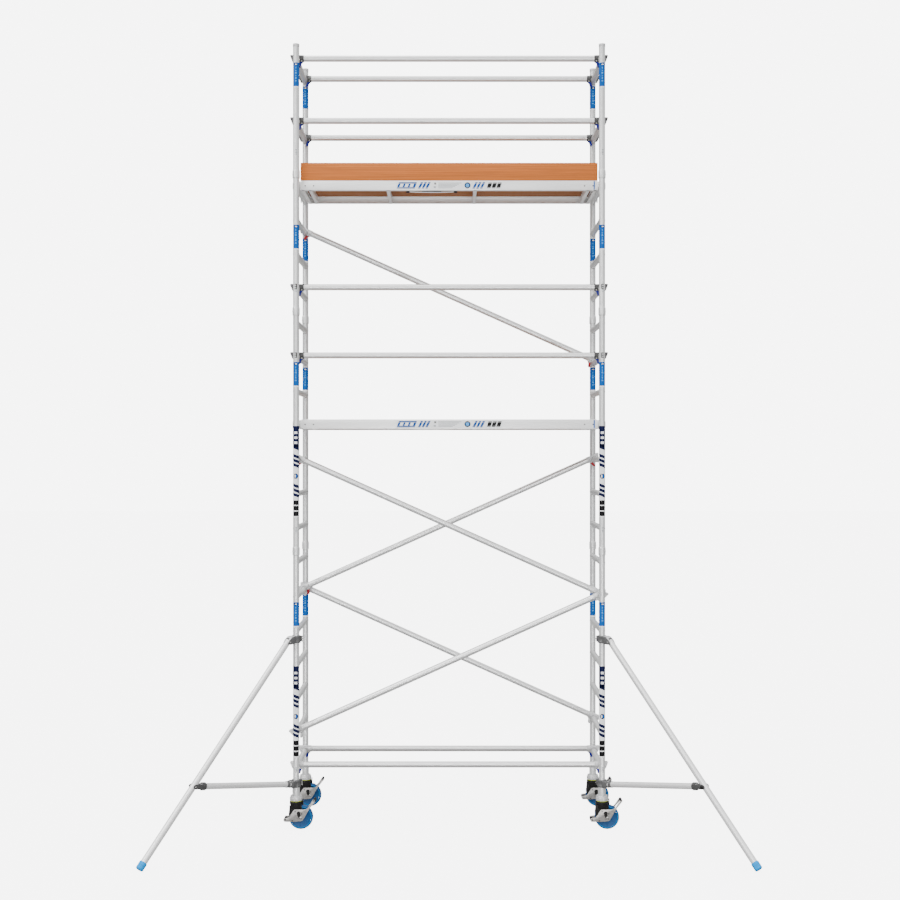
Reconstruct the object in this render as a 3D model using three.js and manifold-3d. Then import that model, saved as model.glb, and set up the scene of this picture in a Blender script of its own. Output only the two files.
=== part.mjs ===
// A mobile aluminium tower scaffold: four end frames stacked at each end, hooked braces and
// guard rails, two platforms with hatches, toe boards, four jacked castors and two outriggers.
// Millimetres, +Z up, X along the tower's length, the front towards -Y.
import * as THREE from "three";
import { mergeVertices } from "three/addons/utils/BufferGeometryUtils.js";
import Module from "manifold-3d";

const wasm = await Module();
wasm.setup();

// ---------------------------------------------------------------- driving dimensions
const GAP = 0.4; // clearance between pieces that touch

const BAY_LENGTH = 2500; // between the standards' centres, along X
const BAY_WIDTH = 700; // between the standards' centres, along Y
const STANDARD_RADIUS = 25.4;
const STANDARD_BORE = 22;
const SOCKET_RADIUS = 30; // the flared lower end of a standard
const SOCKET_HEIGHT = 60;
const SPIGOT_RADIUS = 20.5;
const SPIGOT_HEIGHT = 150;
const STANDARD_CAP = 40; // the solid end above a standard's bore
const RUNG_RADIUS = 24;
const RUNG_PITCH = 280;
const FIRST_RUNG = 219; // above the frame's lower end
const TALL_FRAME_RUNGS = 7;
const SHORT_FRAME_RUNGS = 4;
const GUARD_RUNGS = [466, 977]; // above the guard frame's lower end
const GUARD_HEIGHT = 1099;
const FRAME_BASE = 276; // the lowest frame's lower end above the floor

const BRACE_RADIUS = 24;
const BRACE_RISE = 17; // a brace's axis above the rungs that it hooks over
const BRACE_INSET = 57; // a brace's axis inside the standards' centres, along Y
const INNER_BRACE_INSET = 105; // for the second brace on a shared rung
const CLAW_THICKNESS = 36;
const CLAW_REACH = 50; // where the brace's tube ends, from the rung's axis
const HOOK_RADIUS = 25.4; // inside a claw or platform hook
const HOOK_THICKNESS = 30; // a platform hook, along Y

const PLATFORM_WIDTH = 600;
const PLATFORM_HALF_LENGTH = 1212;
const PLATFORM_RISE = 52; // the platform's top above the rungs it hangs on
const BEAM_HEIGHT = 78;
const BEAM_WIDTH = 40;
const CROSS_WIDTH = 26; // a cross member, along X
const OUTER_CROSS = 1144; // the outer cross members' centres, either side of the middle
const END_MEMBER = 24; // the width of the member that closes each end
const BOARD_HALF_LENGTH = 1200;
const BOARD_THICKNESS = 12;
const BOARD_DROP = 8; // the board's top below the beams' top
const HATCH_LEFT = -503; // the cross members' centres, either side of the hatch
const HATCH_RIGHT = 215;
const HATCH_HALF_WIDTH = 235;
const HATCH_REST = 10; // how far the hatch lies on its cross members
const HATCH_GAP = 3;
const PLATFORM_RUNGS = { lower: 10, upper: 17 }; // counted from the lowest rung, 0

const TOE_BOARD_HEIGHT = 147;
const TOE_BOARD_THICKNESS = 22;
const TOE_BOARD_HALF_LENGTH = 1220;

const WHEEL_RADIUS = 100; // to the middle of the tread's flats
const WHEEL_SIDES = 16;
const WHEEL_WIDTH = 46;
const CASTOR_TRAIL = 40; // the axle's offset from the swivel axis, along +X
const AXLE_RADIUS = 8;
const HOUSING_RADIUS = 53;
const HOUSING_TOP = 228.5;
const STEM_RADIUS = 19;
const SWIVEL_PLATE_RADIUS = 48; // the plate at the stem's lower end
const SWIVEL_PLATE_THICKNESS = 5.5;
const NUT_RADIUS = 52;
const NUT_BORE = 20.5;
const CASTOR_SIDES = 12;
const STEM_TOP = 620;

const OUTRIGGER_AZIMUTH = 47.8; // degrees from the tower's length, towards the front
const OUTRIGGER_RADIUS = 24;
const OUTRIGGER_PIN = { out: 90, z: 1535 }; // where the strut hangs on its clamp
const OUTRIGGER_FOOT_OUT = 1520;
const UPPER_CLAMP_Z = 1554;
const LOWER_CLAMP_Z = 374;
const CLAMP_HEIGHT = 60;
const CLAMP_SIDES = 16;
const CLAMP_BORE = 26.6;
const CLAMP_RADIUS = 38;
const ARM_JOINT_OUT = 1030; // where the arm meets the strut
const FOOT_RADIUS = 31;
const FOOT_LENGTH = 62;
const FOOT_CHAMFER = 5;
const FOOT_SOCKET_DEPTH = 42;

const TUBE_SIDES = 10;
const RUNG_SIDES = 8;
const HALF_LENGTH = BAY_LENGTH / 2;
const HALF_WIDTH = BAY_WIDTH / 2;
const TALL_FRAME = TALL_FRAME_RUNGS * RUNG_PITCH;
const SHORT_FRAME = SHORT_FRAME_RUNGS * RUNG_PITCH;

const rungLevel = (count) => FRAME_BASE + FIRST_RUNG + count * RUNG_PITCH;
const UPPER_BASE = FRAME_BASE + 2 * TALL_FRAME;
const GUARD_BASE = UPPER_BASE + SHORT_FRAME;

// ---------------------------------------------------------------- materials
const finish = (color, roughness, metalness) =>
  new THREE.MeshStandardMaterial({ color, roughness, metalness });

const aluminium = finish(0xd0d1d1, 0.45, 0.35);
const castAluminium = finish(0x8d8e90, 0.55, 0.5);
const zincSteel = finish(0xa9a59f, 0.5, 0.6);
const blackPaint = finish(0x1b1b1a, 0.5, 0.1);
const blueWheel = finish(0x1d6aa8, 0.45, 0);
const blueRubber = finish(0x12a4e6, 0.6, 0);
const toeBoardWood = finish(0xc5885b, 0.75, 0);
const brownPlywood = finish(0x7f5434, 0.8, 0);

// ---------------------------------------------------------------- shape helpers
/** The closed solid of a geometry. */
function solidOf(geometry) {
  const bare = geometry.clone();
  bare.deleteAttribute("normal");
  bare.deleteAttribute("uv");
  const merged = mergeVertices(bare, 1e-3);
  return new wasm.Manifold(
    new wasm.Mesh({
      numProp: 3,
      vertProperties: new Float32Array(merged.attributes.position.array),
      triVerts: new Uint32Array(merged.index.array),
    }),
  );
}

/** The geometry of a solid. */
function geometryOf(solid) {
  const { vertProperties, triVerts } = solid.getMesh();
  const geometry = new THREE.BufferGeometry();
  geometry.setAttribute("position", new THREE.BufferAttribute(vertProperties, 3));
  geometry.setIndex(new THREE.BufferAttribute(triVerts, 1));
  const faceted = geometry.toNonIndexed();
  faceted.computeVertexNormals();
  return faceted;
}

/** One geometry joined from several, less any cuts. */
function joined(pieces, cuts = []) {
  let solid = pieces.map(solidOf).reduce((whole, piece) => whole.add(piece));
  for (const cut of cuts) solid = solid.subtract(solidOf(cut));
  return geometryOf(solid);
}

/** A round bar between two points. */
function rod(radius, start, end, sides = TUBE_SIDES) {
  const from = new THREE.Vector3(...start);
  const to = new THREE.Vector3(...end);
  const along = to.clone().sub(from);
  const turn = new THREE.Quaternion().setFromUnitVectors(
    new THREE.Vector3(0, 1, 0),
    along.clone().normalize(),
  );
  const bar = new THREE.CylinderGeometry(radius, radius, along.length(), sides);
  bar.applyQuaternion(turn);
  return bar.translate(...from.add(to).multiplyScalar(0.5).toArray());
}

/** A solid turned about Z from [radius, height] points, listed so that its faces point out. */
function turned(profile, sides = TUBE_SIDES) {
  const points = profile.map(([radius, height]) => new THREE.Vector2(radius, height));
  return new THREE.LatheGeometry(points, sides).rotateX(Math.PI / 2);
}

/** A block between two corners. */
function block([x0, y0, z0], [x1, y1, z1]) {
  const box = new THREE.BoxGeometry(x1 - x0, y1 - y0, z1 - z0);
  return box.translate((x0 + x1) / 2, (y0 + y1) / 2, (z0 + z1) / 2);
}

/** A shape in the XZ plane given thickness along Y, centred on y. */
function plateXZ(shape, thickness, y = 0, curveSegments = 4) {
  const plate = new THREE.ExtrudeGeometry(shape, {
    depth: thickness,
    bevelEnabled: false,
    curveSegments,
  });
  return plate.rotateX(Math.PI / 2).translate(0, y + thickness / 2, 0);
}

/** A shape in the YZ plane drawn out along X between two places. */
function extrusionX(points, x0, x1) {
  const shape = new THREE.Shape(points.map(([y, z]) => new THREE.Vector2(y, z)));
  const bar = new THREE.ExtrudeGeometry(shape, { depth: x1 - x0, bevelEnabled: false });
  // The shape's X and Y become Y and Z, and its depth becomes X.
  const turn = new THREE.Matrix4().makeBasis(
    new THREE.Vector3(0, 1, 0),
    new THREE.Vector3(0, 0, 1),
    new THREE.Vector3(1, 0, 0),
  );
  return bar.applyMatrix4(turn).translate(x0, 0, 0);
}

const polygon = (points) => new THREE.Shape(points.map(([x, y]) => new THREE.Vector2(x, y)));
const flippedX = (geometry) => geometry.clone().rotateZ(Math.PI);

const tower = new THREE.Group();

function addPart(parent, name, geometry, material, position = [0, 0, 0]) {
  const mesh = new THREE.Mesh(geometry, material);
  mesh.name = name;
  mesh.position.set(...position);
  parent.add(mesh);
  return mesh;
}

// ---------------------------------------------------------------- end frames
/** A standard with a flared socket below and, unless it is the last one, a spigot above. */
function standardShell(height, hasSpigot) {
  const neck = SOCKET_HEIGHT + SOCKET_RADIUS - STANDARD_RADIUS;
  const profile = [
    [0, 0],
    [SOCKET_RADIUS, 0],
    [SOCKET_RADIUS, SOCKET_HEIGHT],
    [STANDARD_RADIUS, neck],
    [STANDARD_RADIUS, height],
  ];
  if (hasSpigot) {
    profile.push([SPIGOT_RADIUS, height], [SPIGOT_RADIUS, height + SPIGOT_HEIGHT]);
  }
  profile.push([0, profile.at(-1)[1]]);
  return turned(profile);
}

/** Two standards welded to rungs at the given heights. */
function endFrame(height, rungHeights, hasSpigot) {
  const sides = [-HALF_WIDTH, HALF_WIDTH];
  const top = hasSpigot ? height - GAP : height;
  const boreTop = top - STANDARD_CAP;
  const bore = turned([[0, -10], [STANDARD_BORE, -10], [STANDARD_BORE, boreTop], [0, boreTop]]);
  const standards = sides.map((y) => standardShell(top, hasSpigot).translate(0, y, 0));
  const rungs = rungHeights.map((z) =>
    rod(RUNG_RADIUS, [0, -HALF_WIDTH, z], [0, HALF_WIDTH, z], RUNG_SIDES),
  );
  const bores = sides.map((y) => bore.clone().translate(0, y, 0));
  return joined([...standards, ...rungs], bores);
}

const evenRungs = (count) => Array.from({ length: count }, (_, i) => FIRST_RUNG + i * RUNG_PITCH);

function addFrames() {
  const tallFrame = endFrame(TALL_FRAME, evenRungs(TALL_FRAME_RUNGS), true);
  const shortFrame = endFrame(SHORT_FRAME, evenRungs(SHORT_FRAME_RUNGS), true);
  const guardFrame = endFrame(GUARD_HEIGHT, GUARD_RUNGS, false);
  const levels = [
    ["lower_frame", FRAME_BASE, tallFrame],
    ["middle_frame", FRAME_BASE + TALL_FRAME, tallFrame],
    ["upper_frame", UPPER_BASE, shortFrame],
    ["guard_frame", GUARD_BASE, guardFrame],
  ];
  for (const [name, z, geometry] of levels) {
    addPart(tower, `${name}_left`, geometry, aluminium, [-HALF_LENGTH, 0, z]);
    addPart(tower, `${name}_right`, geometry, aluminium, [HALF_LENGTH, 0, z]);
  }
}

// ---------------------------------------------------------------- braces and guard rails
/** A claw that hooks over a rung on the origin, for a brace that runs off towards +X. */
function clawShape() {
  const shape = new THREE.Shape();
  const mouth = THREE.MathUtils.degToRad(207);
  shape.moveTo(CLAW_REACH, BRACE_RISE + 23);
  shape.lineTo(-48, 44);
  shape.lineTo(-55, 38);
  shape.lineTo(-36, -6);
  shape.lineTo(-28, -14);
  shape.absarc(0, 0, HOOK_RADIUS, mouth, 0, true);
  shape.lineTo(HOOK_RADIUS, -14);
  shape.lineTo(44, -14);
  shape.lineTo(CLAW_REACH, -6);
  return shape;
}

/** A brace between two rungs on the X axis, span apart and centred on the origin. */
function braceGeometry(span) {
  const claw = plateXZ(clawShape(), CLAW_THICKNESS);
  const tubeEnd = span / 2 - CLAW_REACH + 8;
  const tube = rod(
    BRACE_RADIUS,
    [-tubeEnd, 0, BRACE_RISE],
    [tubeEnd, 0, BRACE_RISE],
    RUNG_SIDES,
  );
  const left = claw.clone().translate(-span / 2, 0, 0);
  const right = flippedX(claw).translate(span / 2, 0, 0);
  return joined([left, right, tube]);
}

/** Hooks a brace over a rung at the left and a rung at the right; front is -1 and back is 1. */
function addBrace(name, side, inset, leftZ, rightZ) {
  const rise = rightZ - leftZ;
  const brace = addPart(
    tower,
    name,
    braceGeometry(Math.hypot(BAY_LENGTH, rise)),
    aluminium,
    [0, side * (HALF_WIDTH - inset), (leftZ + rightZ) / 2],
  );
  brace.rotation.y = -Math.atan2(rise, BAY_LENGTH);
}

function addBraces() {
  const [kneeRail, topRail] = GUARD_RUNGS.map((height) => GUARD_BASE + height);
  const level = (name, side, z) => addBrace(name, side, BRACE_INSET, z, z);
  level("base_rail_front", -1, rungLevel(0));
  level("base_rail_back", 1, rungLevel(0));
  level("middle_knee_rail_front", -1, rungLevel(12));
  level("middle_guard_rail_front", -1, rungLevel(14));
  level("knee_rail_front", -1, kneeRail);
  level("knee_rail_back", 1, kneeRail);
  level("guard_rail_front", -1, topRail);
  level("guard_rail_back", 1, topRail);
  addBrace("diagonal_lower_front", -1, BRACE_INSET, rungLevel(1), rungLevel(5));
  addBrace("diagonal_lower_back", 1, BRACE_INSET, rungLevel(5), rungLevel(1));
  addBrace("diagonal_middle_front", -1, INNER_BRACE_INSET, rungLevel(9), rungLevel(5));
  addBrace("diagonal_middle_back", 1, INNER_BRACE_INSET, rungLevel(5), rungLevel(9));
  addBrace("diagonal_upper_back", 1, BRACE_INSET, rungLevel(16), rungLevel(12));
}

// ---------------------------------------------------------------- platforms
/** A beam's section in YZ below its top at z = 0, with its outer face towards -Y. */
const beamSection = () => {
  const outer = -PLATFORM_WIDTH / 2;
  const inner = outer + BEAM_WIDTH;
  const web = outer + 4;
  const upstand = outer + 25;
  const ledge = -BOARD_DROP - BOARD_THICKNESS - GAP;
  return [
    [outer, -BEAM_HEIGHT],
    [inner, -BEAM_HEIGHT],
    [inner, -BEAM_HEIGHT + 4],
    [web, -BEAM_HEIGHT + 4],
    [web, ledge - 4],
    [inner, ledge - 4],
    [inner, ledge],
    [upstand, ledge],
    [upstand, 0],
    [outer, 0],
  ];
};

/** A platform hook over a rung on the origin, for a beam that runs off towards +X. */
function platformHookShape() {
  const shape = new THREE.Shape();
  const mouth = THREE.MathUtils.degToRad(195);
  shape.moveTo(50, PLATFORM_RISE - 5);
  shape.lineTo(-22, PLATFORM_RISE - 5);
  shape.lineTo(-36, 30);
  shape.lineTo(-36, -20);
  shape.lineTo(-28, -20);
  shape.absarc(0, 0, HOOK_RADIUS, mouth, 0, true);
  shape.lineTo(HOOK_RADIUS, -24);
  shape.lineTo(50, -24);
  return shape;
}

/** The welded platform frame, its top at z = 0. */
function platformFrameGeometry() {
  const ledge = -BOARD_DROP - BOARD_THICKNESS - GAP;
  const beam = extrusionX(beamSection(), -PLATFORM_HALF_LENGTH, PLATFORM_HALF_LENGTH);
  const half = PLATFORM_WIDTH / 2;
  const crossMember = (x, width) =>
    block(
      [x - width / 2, -half + 2, -BEAM_HEIGHT],
      [x + width / 2, half - 2, ledge],
    );
  const endX = PLATFORM_HALF_LENGTH - END_MEMBER / 2;
  const hook = plateXZ(platformHookShape(), HOOK_THICKNESS);
  const hookY = half - HOOK_THICKNESS / 2;
  const hooks = [-1, 1].flatMap((side) => [
    hook.clone().translate(-HALF_LENGTH, side * hookY, -PLATFORM_RISE),
    flippedX(hook).translate(HALF_LENGTH, side * hookY, -PLATFORM_RISE),
  ]);
  return joined([
    beam,
    flippedX(beam),
    crossMember(-endX, END_MEMBER),
    crossMember(-OUTER_CROSS, CROSS_WIDTH),
    crossMember(HATCH_LEFT, CROSS_WIDTH),
    crossMember(HATCH_RIGHT, CROSS_WIDTH),
    crossMember(OUTER_CROSS, CROSS_WIDTH),
    crossMember(endX, END_MEMBER),
    ...hooks,
  ]);
}

const hatchOpening = {
  left: HATCH_LEFT + CROSS_WIDTH / 2 - HATCH_REST,
  right: HATCH_RIGHT - CROSS_WIDTH / 2 + HATCH_REST,
};

/** The plywood board with its hatch opening, its underside on the beams' ledges. */
function boardGeometry() {
  const half = PLATFORM_WIDTH / 2 - 25 - GAP;
  const bottom = -BOARD_DROP - BOARD_THICKNESS;
  const board = block([-BOARD_HALF_LENGTH, -half, bottom], [BOARD_HALF_LENGTH, half, -BOARD_DROP]);
  const opening = block(
    [hatchOpening.left, -HATCH_HALF_WIDTH, bottom - 5],
    [hatchOpening.right, HATCH_HALF_WIDTH, -BOARD_DROP + 5],
  );
  return joined([board], [opening]);
}

/** The hatch lid with a bowed grab bar under its front edge. */
function hatchGeometry() {
  const bottom = -BOARD_DROP - BOARD_THICKNESS;
  const centre = (hatchOpening.left + hatchOpening.right) / 2;
  const barZ = -BEAM_HEIGHT;
  const barHalf = 205;
  const barY = -HATCH_HALF_WIDTH + 24;
  const lid = block(
    [hatchOpening.left + HATCH_GAP, -HATCH_HALF_WIDTH + HATCH_GAP, bottom],
    [hatchOpening.right - HATCH_GAP, HATCH_HALF_WIDTH - HATCH_GAP, -BOARD_DROP],
  );
  const bar = block([centre - barHalf, barY - 6, barZ - 4], [centre + barHalf, barY + 6, barZ + 4]);
  const post = (x) => rod(6, [x, barY, barZ], [x, barY, bottom + 2], 8);
  return joined([lid, bar, post(centre - barHalf + 8), post(centre + barHalf - 8)]);
}

function addPlatforms() {
  const frame = platformFrameGeometry();
  const board = boardGeometry();
  const hatch = hatchGeometry();
  for (const [level, rung] of Object.entries(PLATFORM_RUNGS)) {
    const place = [0, 0, rungLevel(rung) + PLATFORM_RISE];
    addPart(tower, `${level}_platform_frame`, frame, aluminium, place);
    addPart(tower, `${level}_platform_board`, board, brownPlywood, place);
    addPart(tower, `${level}_platform_hatch`, hatch, brownPlywood, place);
  }
}

function addToeBoards() {
  const z0 = rungLevel(PLATFORM_RUNGS.upper) + PLATFORM_RISE + GAP;
  const z1 = z0 + TOE_BOARD_HEIGHT;
  const outer = PLATFORM_WIDTH / 2;
  const inner = outer - TOE_BOARD_THICKNESS;
  const endX = PLATFORM_HALF_LENGTH;
  const long = block([-TOE_BOARD_HALF_LENGTH, -outer, z0], [TOE_BOARD_HALF_LENGTH, -inner, z1]);
  const short = block([-endX, -inner + GAP, z0], [-endX + TOE_BOARD_THICKNESS, inner - GAP, z1]);
  addPart(tower, "toe_board_front", long, toeBoardWood);
  addPart(tower, "toe_board_back", flippedX(long), toeBoardWood);
  addPart(tower, "toe_board_left", short, toeBoardWood);
  addPart(tower, "toe_board_right", flippedX(short), toeBoardWood);
}

// ---------------------------------------------------------------- castors, about their swivel axis
/** The jack's spindle on its swivel plate. */
function stemGeometry() {
  const plateBottom = HOUSING_TOP + 0.5;
  const plateTop = plateBottom + SWIVEL_PLATE_THICKNESS;
  return turned([
    [0, plateBottom],
    [SWIVEL_PLATE_RADIUS, plateBottom],
    [SWIVEL_PLATE_RADIUS, plateTop],
    [STEM_RADIUS, plateTop],
    [STEM_RADIUS, STEM_TOP],
    [0, STEM_TOP],
  ]);
}

/** The jack's adjusting nut, which carries the end of the standard. */
function nutGeometry() {
  const bottom = HOUSING_TOP + 1 + SWIVEL_PLATE_THICKNESS;
  const top = FRAME_BASE - GAP;
  return turned(
    [
      [NUT_BORE, bottom],
      [NUT_RADIUS, bottom],
      [NUT_RADIUS, top - 8],
      [NUT_RADIUS - 6, top],
      [NUT_BORE, top],
      [NUT_BORE, bottom],
    ],
    CASTOR_SIDES,
  );
}

const LEG_GAP = WHEEL_WIDTH / 2 + 5; // a fork leg's inner face, from the wheel's middle
const LEG_THICKNESS = 6;
const BRAKE_GAP = LEG_GAP + LEG_THICKNESS + 3; // a brake plate's inner face
const BRAKE_THICKNESS = 4;
const BRAKE_PIVOT = [18, 135];
const AXLE = [CASTOR_TRAIL, WHEEL_RADIUS];

/** The swivel housing with both fork legs, the axle and the brake's pivot studs. */
function forkGeometry() {
  const housing = turned(
    [[0, 176], [HOUSING_RADIUS, 176], [HOUSING_RADIUS, HOUSING_TOP], [0, HOUSING_TOP]],
    CASTOR_SIDES,
  );
  const hollow = block([-80, -LEG_GAP, 170], [80, LEG_GAP, 206]);
  const leg = polygon([
    [-53, 190], [-61, 104], [-20, 92], [20, 78], [40, 74],
    [60, 80], [66, 100], [52, 140], [50, 190],
  ]);
  const legY = LEG_GAP + LEG_THICKNESS / 2;
  const studEnd = BRAKE_GAP + BRAKE_THICKNESS + 3;
  const axleEnd = LEG_GAP + LEG_THICKNESS;
  const [axleX, axleZ] = AXLE;
  const [pivotX, pivotZ] = BRAKE_PIVOT;
  const stud = (side) =>
    rod(6, [pivotX, side * (LEG_GAP + 1), pivotZ], [pivotX, side * studEnd, pivotZ], 8);
  const body = joined([housing], [hollow]);
  return joined([
    body,
    plateXZ(leg, LEG_THICKNESS, -legY),
    plateXZ(leg, LEG_THICKNESS, legY),
    rod(AXLE_RADIUS, [axleX, -axleEnd, axleZ], [axleX, axleEnd, axleZ]),
    stud(-1),
    stud(1),
  ]);
}

/** The wheel about its own axis, which runs along Y, standing on a flat of its tread. */
function wheelGeometry() {
  const half = WHEEL_WIDTH / 2;
  const bore = AXLE_RADIUS + 1.3;
  const tread = WHEEL_RADIUS / Math.cos(Math.PI / WHEEL_SIDES);
  const profile = [
    [bore, -half - 3],
    [24, -half - 3],
    [34, -half + 6],
    [76, -half + 6],
    [tread - 6, -half],
    [tread, -half + 8],
    [tread, half - 8],
    [tread - 6, half],
    [76, half - 6],
    [34, half - 6],
    [24, half + 3],
    [bore, half + 3],
    [bore, -half - 3],
  ];
  const onItsFlat = Math.PI / WHEEL_SIDES;
  return turned(profile, WHEEL_SIDES).rotateX(Math.PI / 2).rotateY(onItsFlat);
}

/** The double-acting brake lever: two side plates joined by a pedal at each end. */
function brakeGeometry() {
  const outline = polygon([
    [-92, 66], [0, 69], [57, 77], [69, 93], [122, 183], [163, 232], [145, 245],
    [106, 187], [81, 168], [0, 168], [-17, 163], [-58, 101], [-97, 96],
  ]);
  const y = BRAKE_GAP + BRAKE_THICKNESS / 2;
  const outer = BRAKE_GAP + BRAKE_THICKNESS;
  const [pivotX, pivotZ] = BRAKE_PIVOT;
  return joined(
    [
      plateXZ(outline, BRAKE_THICKNESS, -y),
      plateXZ(outline, BRAKE_THICKNESS, y),
      rod(12, [-88, -outer, 81], [-88, outer, 81], 6),
      rod(11, [153, -outer, 237], [153, outer, 237], 6),
    ],
    [rod(6.8, [pivotX, -outer - 5, pivotZ], [pivotX, outer + 5, pivotZ], 8)],
  );
}

function addCastors() {
  const stem = stemGeometry();
  const nut = nutGeometry();
  const fork = forkGeometry();
  const wheel = wheelGeometry();
  const brake = brakeGeometry();
  for (const [end, x] of [["left", -HALF_LENGTH], ["right", HALF_LENGTH]]) {
    for (const [side, y] of [["front", -HALF_WIDTH], ["back", HALF_WIDTH]]) {
      const castor = new THREE.Group();
      const corner = `${side}_${end}`;
      castor.position.set(x, y, 0);
      tower.add(castor);
      addPart(castor, `castor_stem_${corner}`, stem, zincSteel);
      addPart(castor, `castor_nut_${corner}`, nut, castAluminium);
      addPart(castor, `castor_fork_${corner}`, fork, blackPaint);
      addPart(castor, `castor_wheel_${corner}`, wheel, blueWheel, [AXLE[0], 0, AXLE[1]]);
      addPart(castor, `castor_brake_${corner}`, brake, zincSteel);
    }
  }
}

// ---------------------------------------------------------------- outriggers, along +X
const strutAngle = Math.atan2(OUTRIGGER_PIN.z, OUTRIGGER_FOOT_OUT - OUTRIGGER_PIN.out);
const FOOT_Z = (FOOT_RADIUS - FOOT_CHAMFER) * Math.cos(strutAngle) + GAP;
const strutSlope = (OUTRIGGER_PIN.z - FOOT_Z) / (OUTRIGGER_FOOT_OUT - OUTRIGGER_PIN.out);
const strutZ = (out) => OUTRIGGER_PIN.z - strutSlope * (out - OUTRIGGER_PIN.out);
const OUTRIGGER_PIN_RADIUS = 7;
const PIN_HOLE_RADIUS = 8;
const CHEEK_INNER = OUTRIGGER_RADIUS + 1;
const CHEEK_OUTER = CHEEK_INNER + 6;

/** A pin along Y at a place in the outrigger's own plane. */
const crossPin = (radius, out, z, half = CHEEK_OUTER) =>
  rod(radius, [out, -half, z], [out, half, z], 10);

/** A clamp's ring about a standard. */
function clampRing(z) {
  const low = z - CLAMP_HEIGHT / 2;
  const high = z + CLAMP_HEIGHT / 2;
  return turned(
    [
      [CLAMP_BORE, low],
      [CLAMP_RADIUS, low],
      [CLAMP_RADIUS, high],
      [CLAMP_BORE, high],
      [CLAMP_BORE, low],
    ],
    CLAMP_SIDES,
  );
}

/** The space that a standard takes through a clamp. */
const clampBore = (z) =>
  rod(CLAMP_BORE, [0, 0, z - CLAMP_HEIGHT], [0, 0, z + CLAMP_HEIGHT], CLAMP_SIDES);

/** The upper clamp: a ring with two cheeks and the pin that the strut hangs on. */
function upperClampGeometry() {
  const { out, z } = OUTRIGGER_PIN;
  const cheek = polygon([
    [15, UPPER_CLAMP_Z + 22],
    [60, UPPER_CLAMP_Z + 16],
    [out + 16, z + 8],
    [out + 16, z - 12],
    [out, z - 18],
    [15, UPPER_CLAMP_Z - 26],
  ]);
  const y = (CHEEK_INNER + CHEEK_OUTER) / 2;
  const bore = clampBore(UPPER_CLAMP_Z);
  return joined(
    [
      clampRing(UPPER_CLAMP_Z),
      plateXZ(cheek, CHEEK_OUTER - CHEEK_INNER, -y),
      plateXZ(cheek, CHEEK_OUTER - CHEEK_INNER, y),
      crossPin(OUTRIGGER_PIN_RADIUS, out, z),
    ],
    [bore],
  );
}

/** The strut, drilled for the clamp's pin and for the arm's bolt. */
function strutGeometry() {
  const inFoot = FOOT_SOCKET_DEPTH - 2;
  const end = OUTRIGGER_FOOT_OUT - (FOOT_LENGTH - inFoot) * Math.cos(strutAngle);
  const start = OUTRIGGER_PIN.out - 18;
  return joined(
    [rod(OUTRIGGER_RADIUS, [start, 0, strutZ(start)], [end, 0, strutZ(end)], RUNG_SIDES)],
    [
      crossPin(PIN_HOLE_RADIUS, OUTRIGGER_PIN.out, OUTRIGGER_PIN.z, 40),
      crossPin(PIN_HOLE_RADIUS, ARM_JOINT_OUT, strutZ(ARM_JOINT_OUT), 40),
    ],
  );
}

/** The arm: a tube from its clamp up to the fork that is bolted to the strut. */
function armGeometry() {
  const jointZ = strutZ(ARM_JOINT_OUT);
  const start = new THREE.Vector2(62, LOWER_CLAMP_Z);
  const joint = new THREE.Vector2(ARM_JOINT_OUT, jointZ);
  const slope = joint.clone().sub(start).angle();
  const along = (back) => [joint.x - back * Math.cos(slope), 0, joint.y - back * Math.sin(slope)];
  const forkPlate = (side) => {
    const y = side * (CHEEK_INNER + CHEEK_OUTER) / 2;
    const outline = polygon([[-105, -18], [0, -18], [18, -8], [18, 8], [0, 18], [-105, 18]]);
    const plate = plateXZ(outline, CHEEK_OUTER - CHEEK_INNER, y);
    return plate.rotateY(-slope).translate(joint.x, 0, joint.y);
  };
  const collar = rod(CHEEK_OUTER, along(108), along(72));
  const lug = block(
    [20, -22, LOWER_CLAMP_Z - CLAMP_HEIGHT / 2 + 3],
    [84, 22, LOWER_CLAMP_Z + CLAMP_HEIGHT / 2 - 3],
  );
  const bore = clampBore(LOWER_CLAMP_Z);
  return joined(
    [
      clampRing(LOWER_CLAMP_Z),
      lug,
      rod(OUTRIGGER_RADIUS, [start.x, 0, start.y], along(75), RUNG_SIDES),
      collar,
      forkPlate(-1),
      forkPlate(1),
      crossPin(OUTRIGGER_PIN_RADIUS, ARM_JOINT_OUT, jointZ),
    ],
    [bore],
  );
}

/** The foot cap about the strut's axis, its sole at z = 0 and the strut coming in from +Z. */
function footGeometry() {
  const socket = OUTRIGGER_RADIUS + 1;
  const socketBottom = FOOT_LENGTH - FOOT_SOCKET_DEPTH;
  return turned(
    [
      [0, 0],
      [FOOT_RADIUS - FOOT_CHAMFER, 0],
      [FOOT_RADIUS, FOOT_CHAMFER],
      [FOOT_RADIUS, FOOT_LENGTH],
      [socket, FOOT_LENGTH],
      [socket, socketBottom],
      [0, socketBottom],
    ],
    CASTOR_SIDES,
  );
}

function addOutriggers() {
  const clamp = upperClampGeometry();
  const strut = strutGeometry();
  const arm = armGeometry();
  const tilt = Math.PI / 2 - Math.atan(strutSlope);
  const foot = footGeometry().rotateY(-tilt).translate(OUTRIGGER_FOOT_OUT, 0, FOOT_Z);
  const azimuth = THREE.MathUtils.degToRad(OUTRIGGER_AZIMUTH);
  for (const [end, x, turn] of [
    ["left", -HALF_LENGTH, Math.PI + azimuth],
    ["right", HALF_LENGTH, -azimuth],
  ]) {
    const outrigger = new THREE.Group();
    outrigger.position.set(x, -HALF_WIDTH, 0);
    outrigger.rotation.z = turn;
    tower.add(outrigger);
    addPart(outrigger, `outrigger_clamp_${end}`, clamp, castAluminium);
    addPart(outrigger, `outrigger_strut_${end}`, strut, aluminium);
    addPart(outrigger, `outrigger_arm_${end}`, arm, aluminium);
    addPart(outrigger, `outrigger_foot_${end}`, foot, blueRubber);
  }
}

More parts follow.
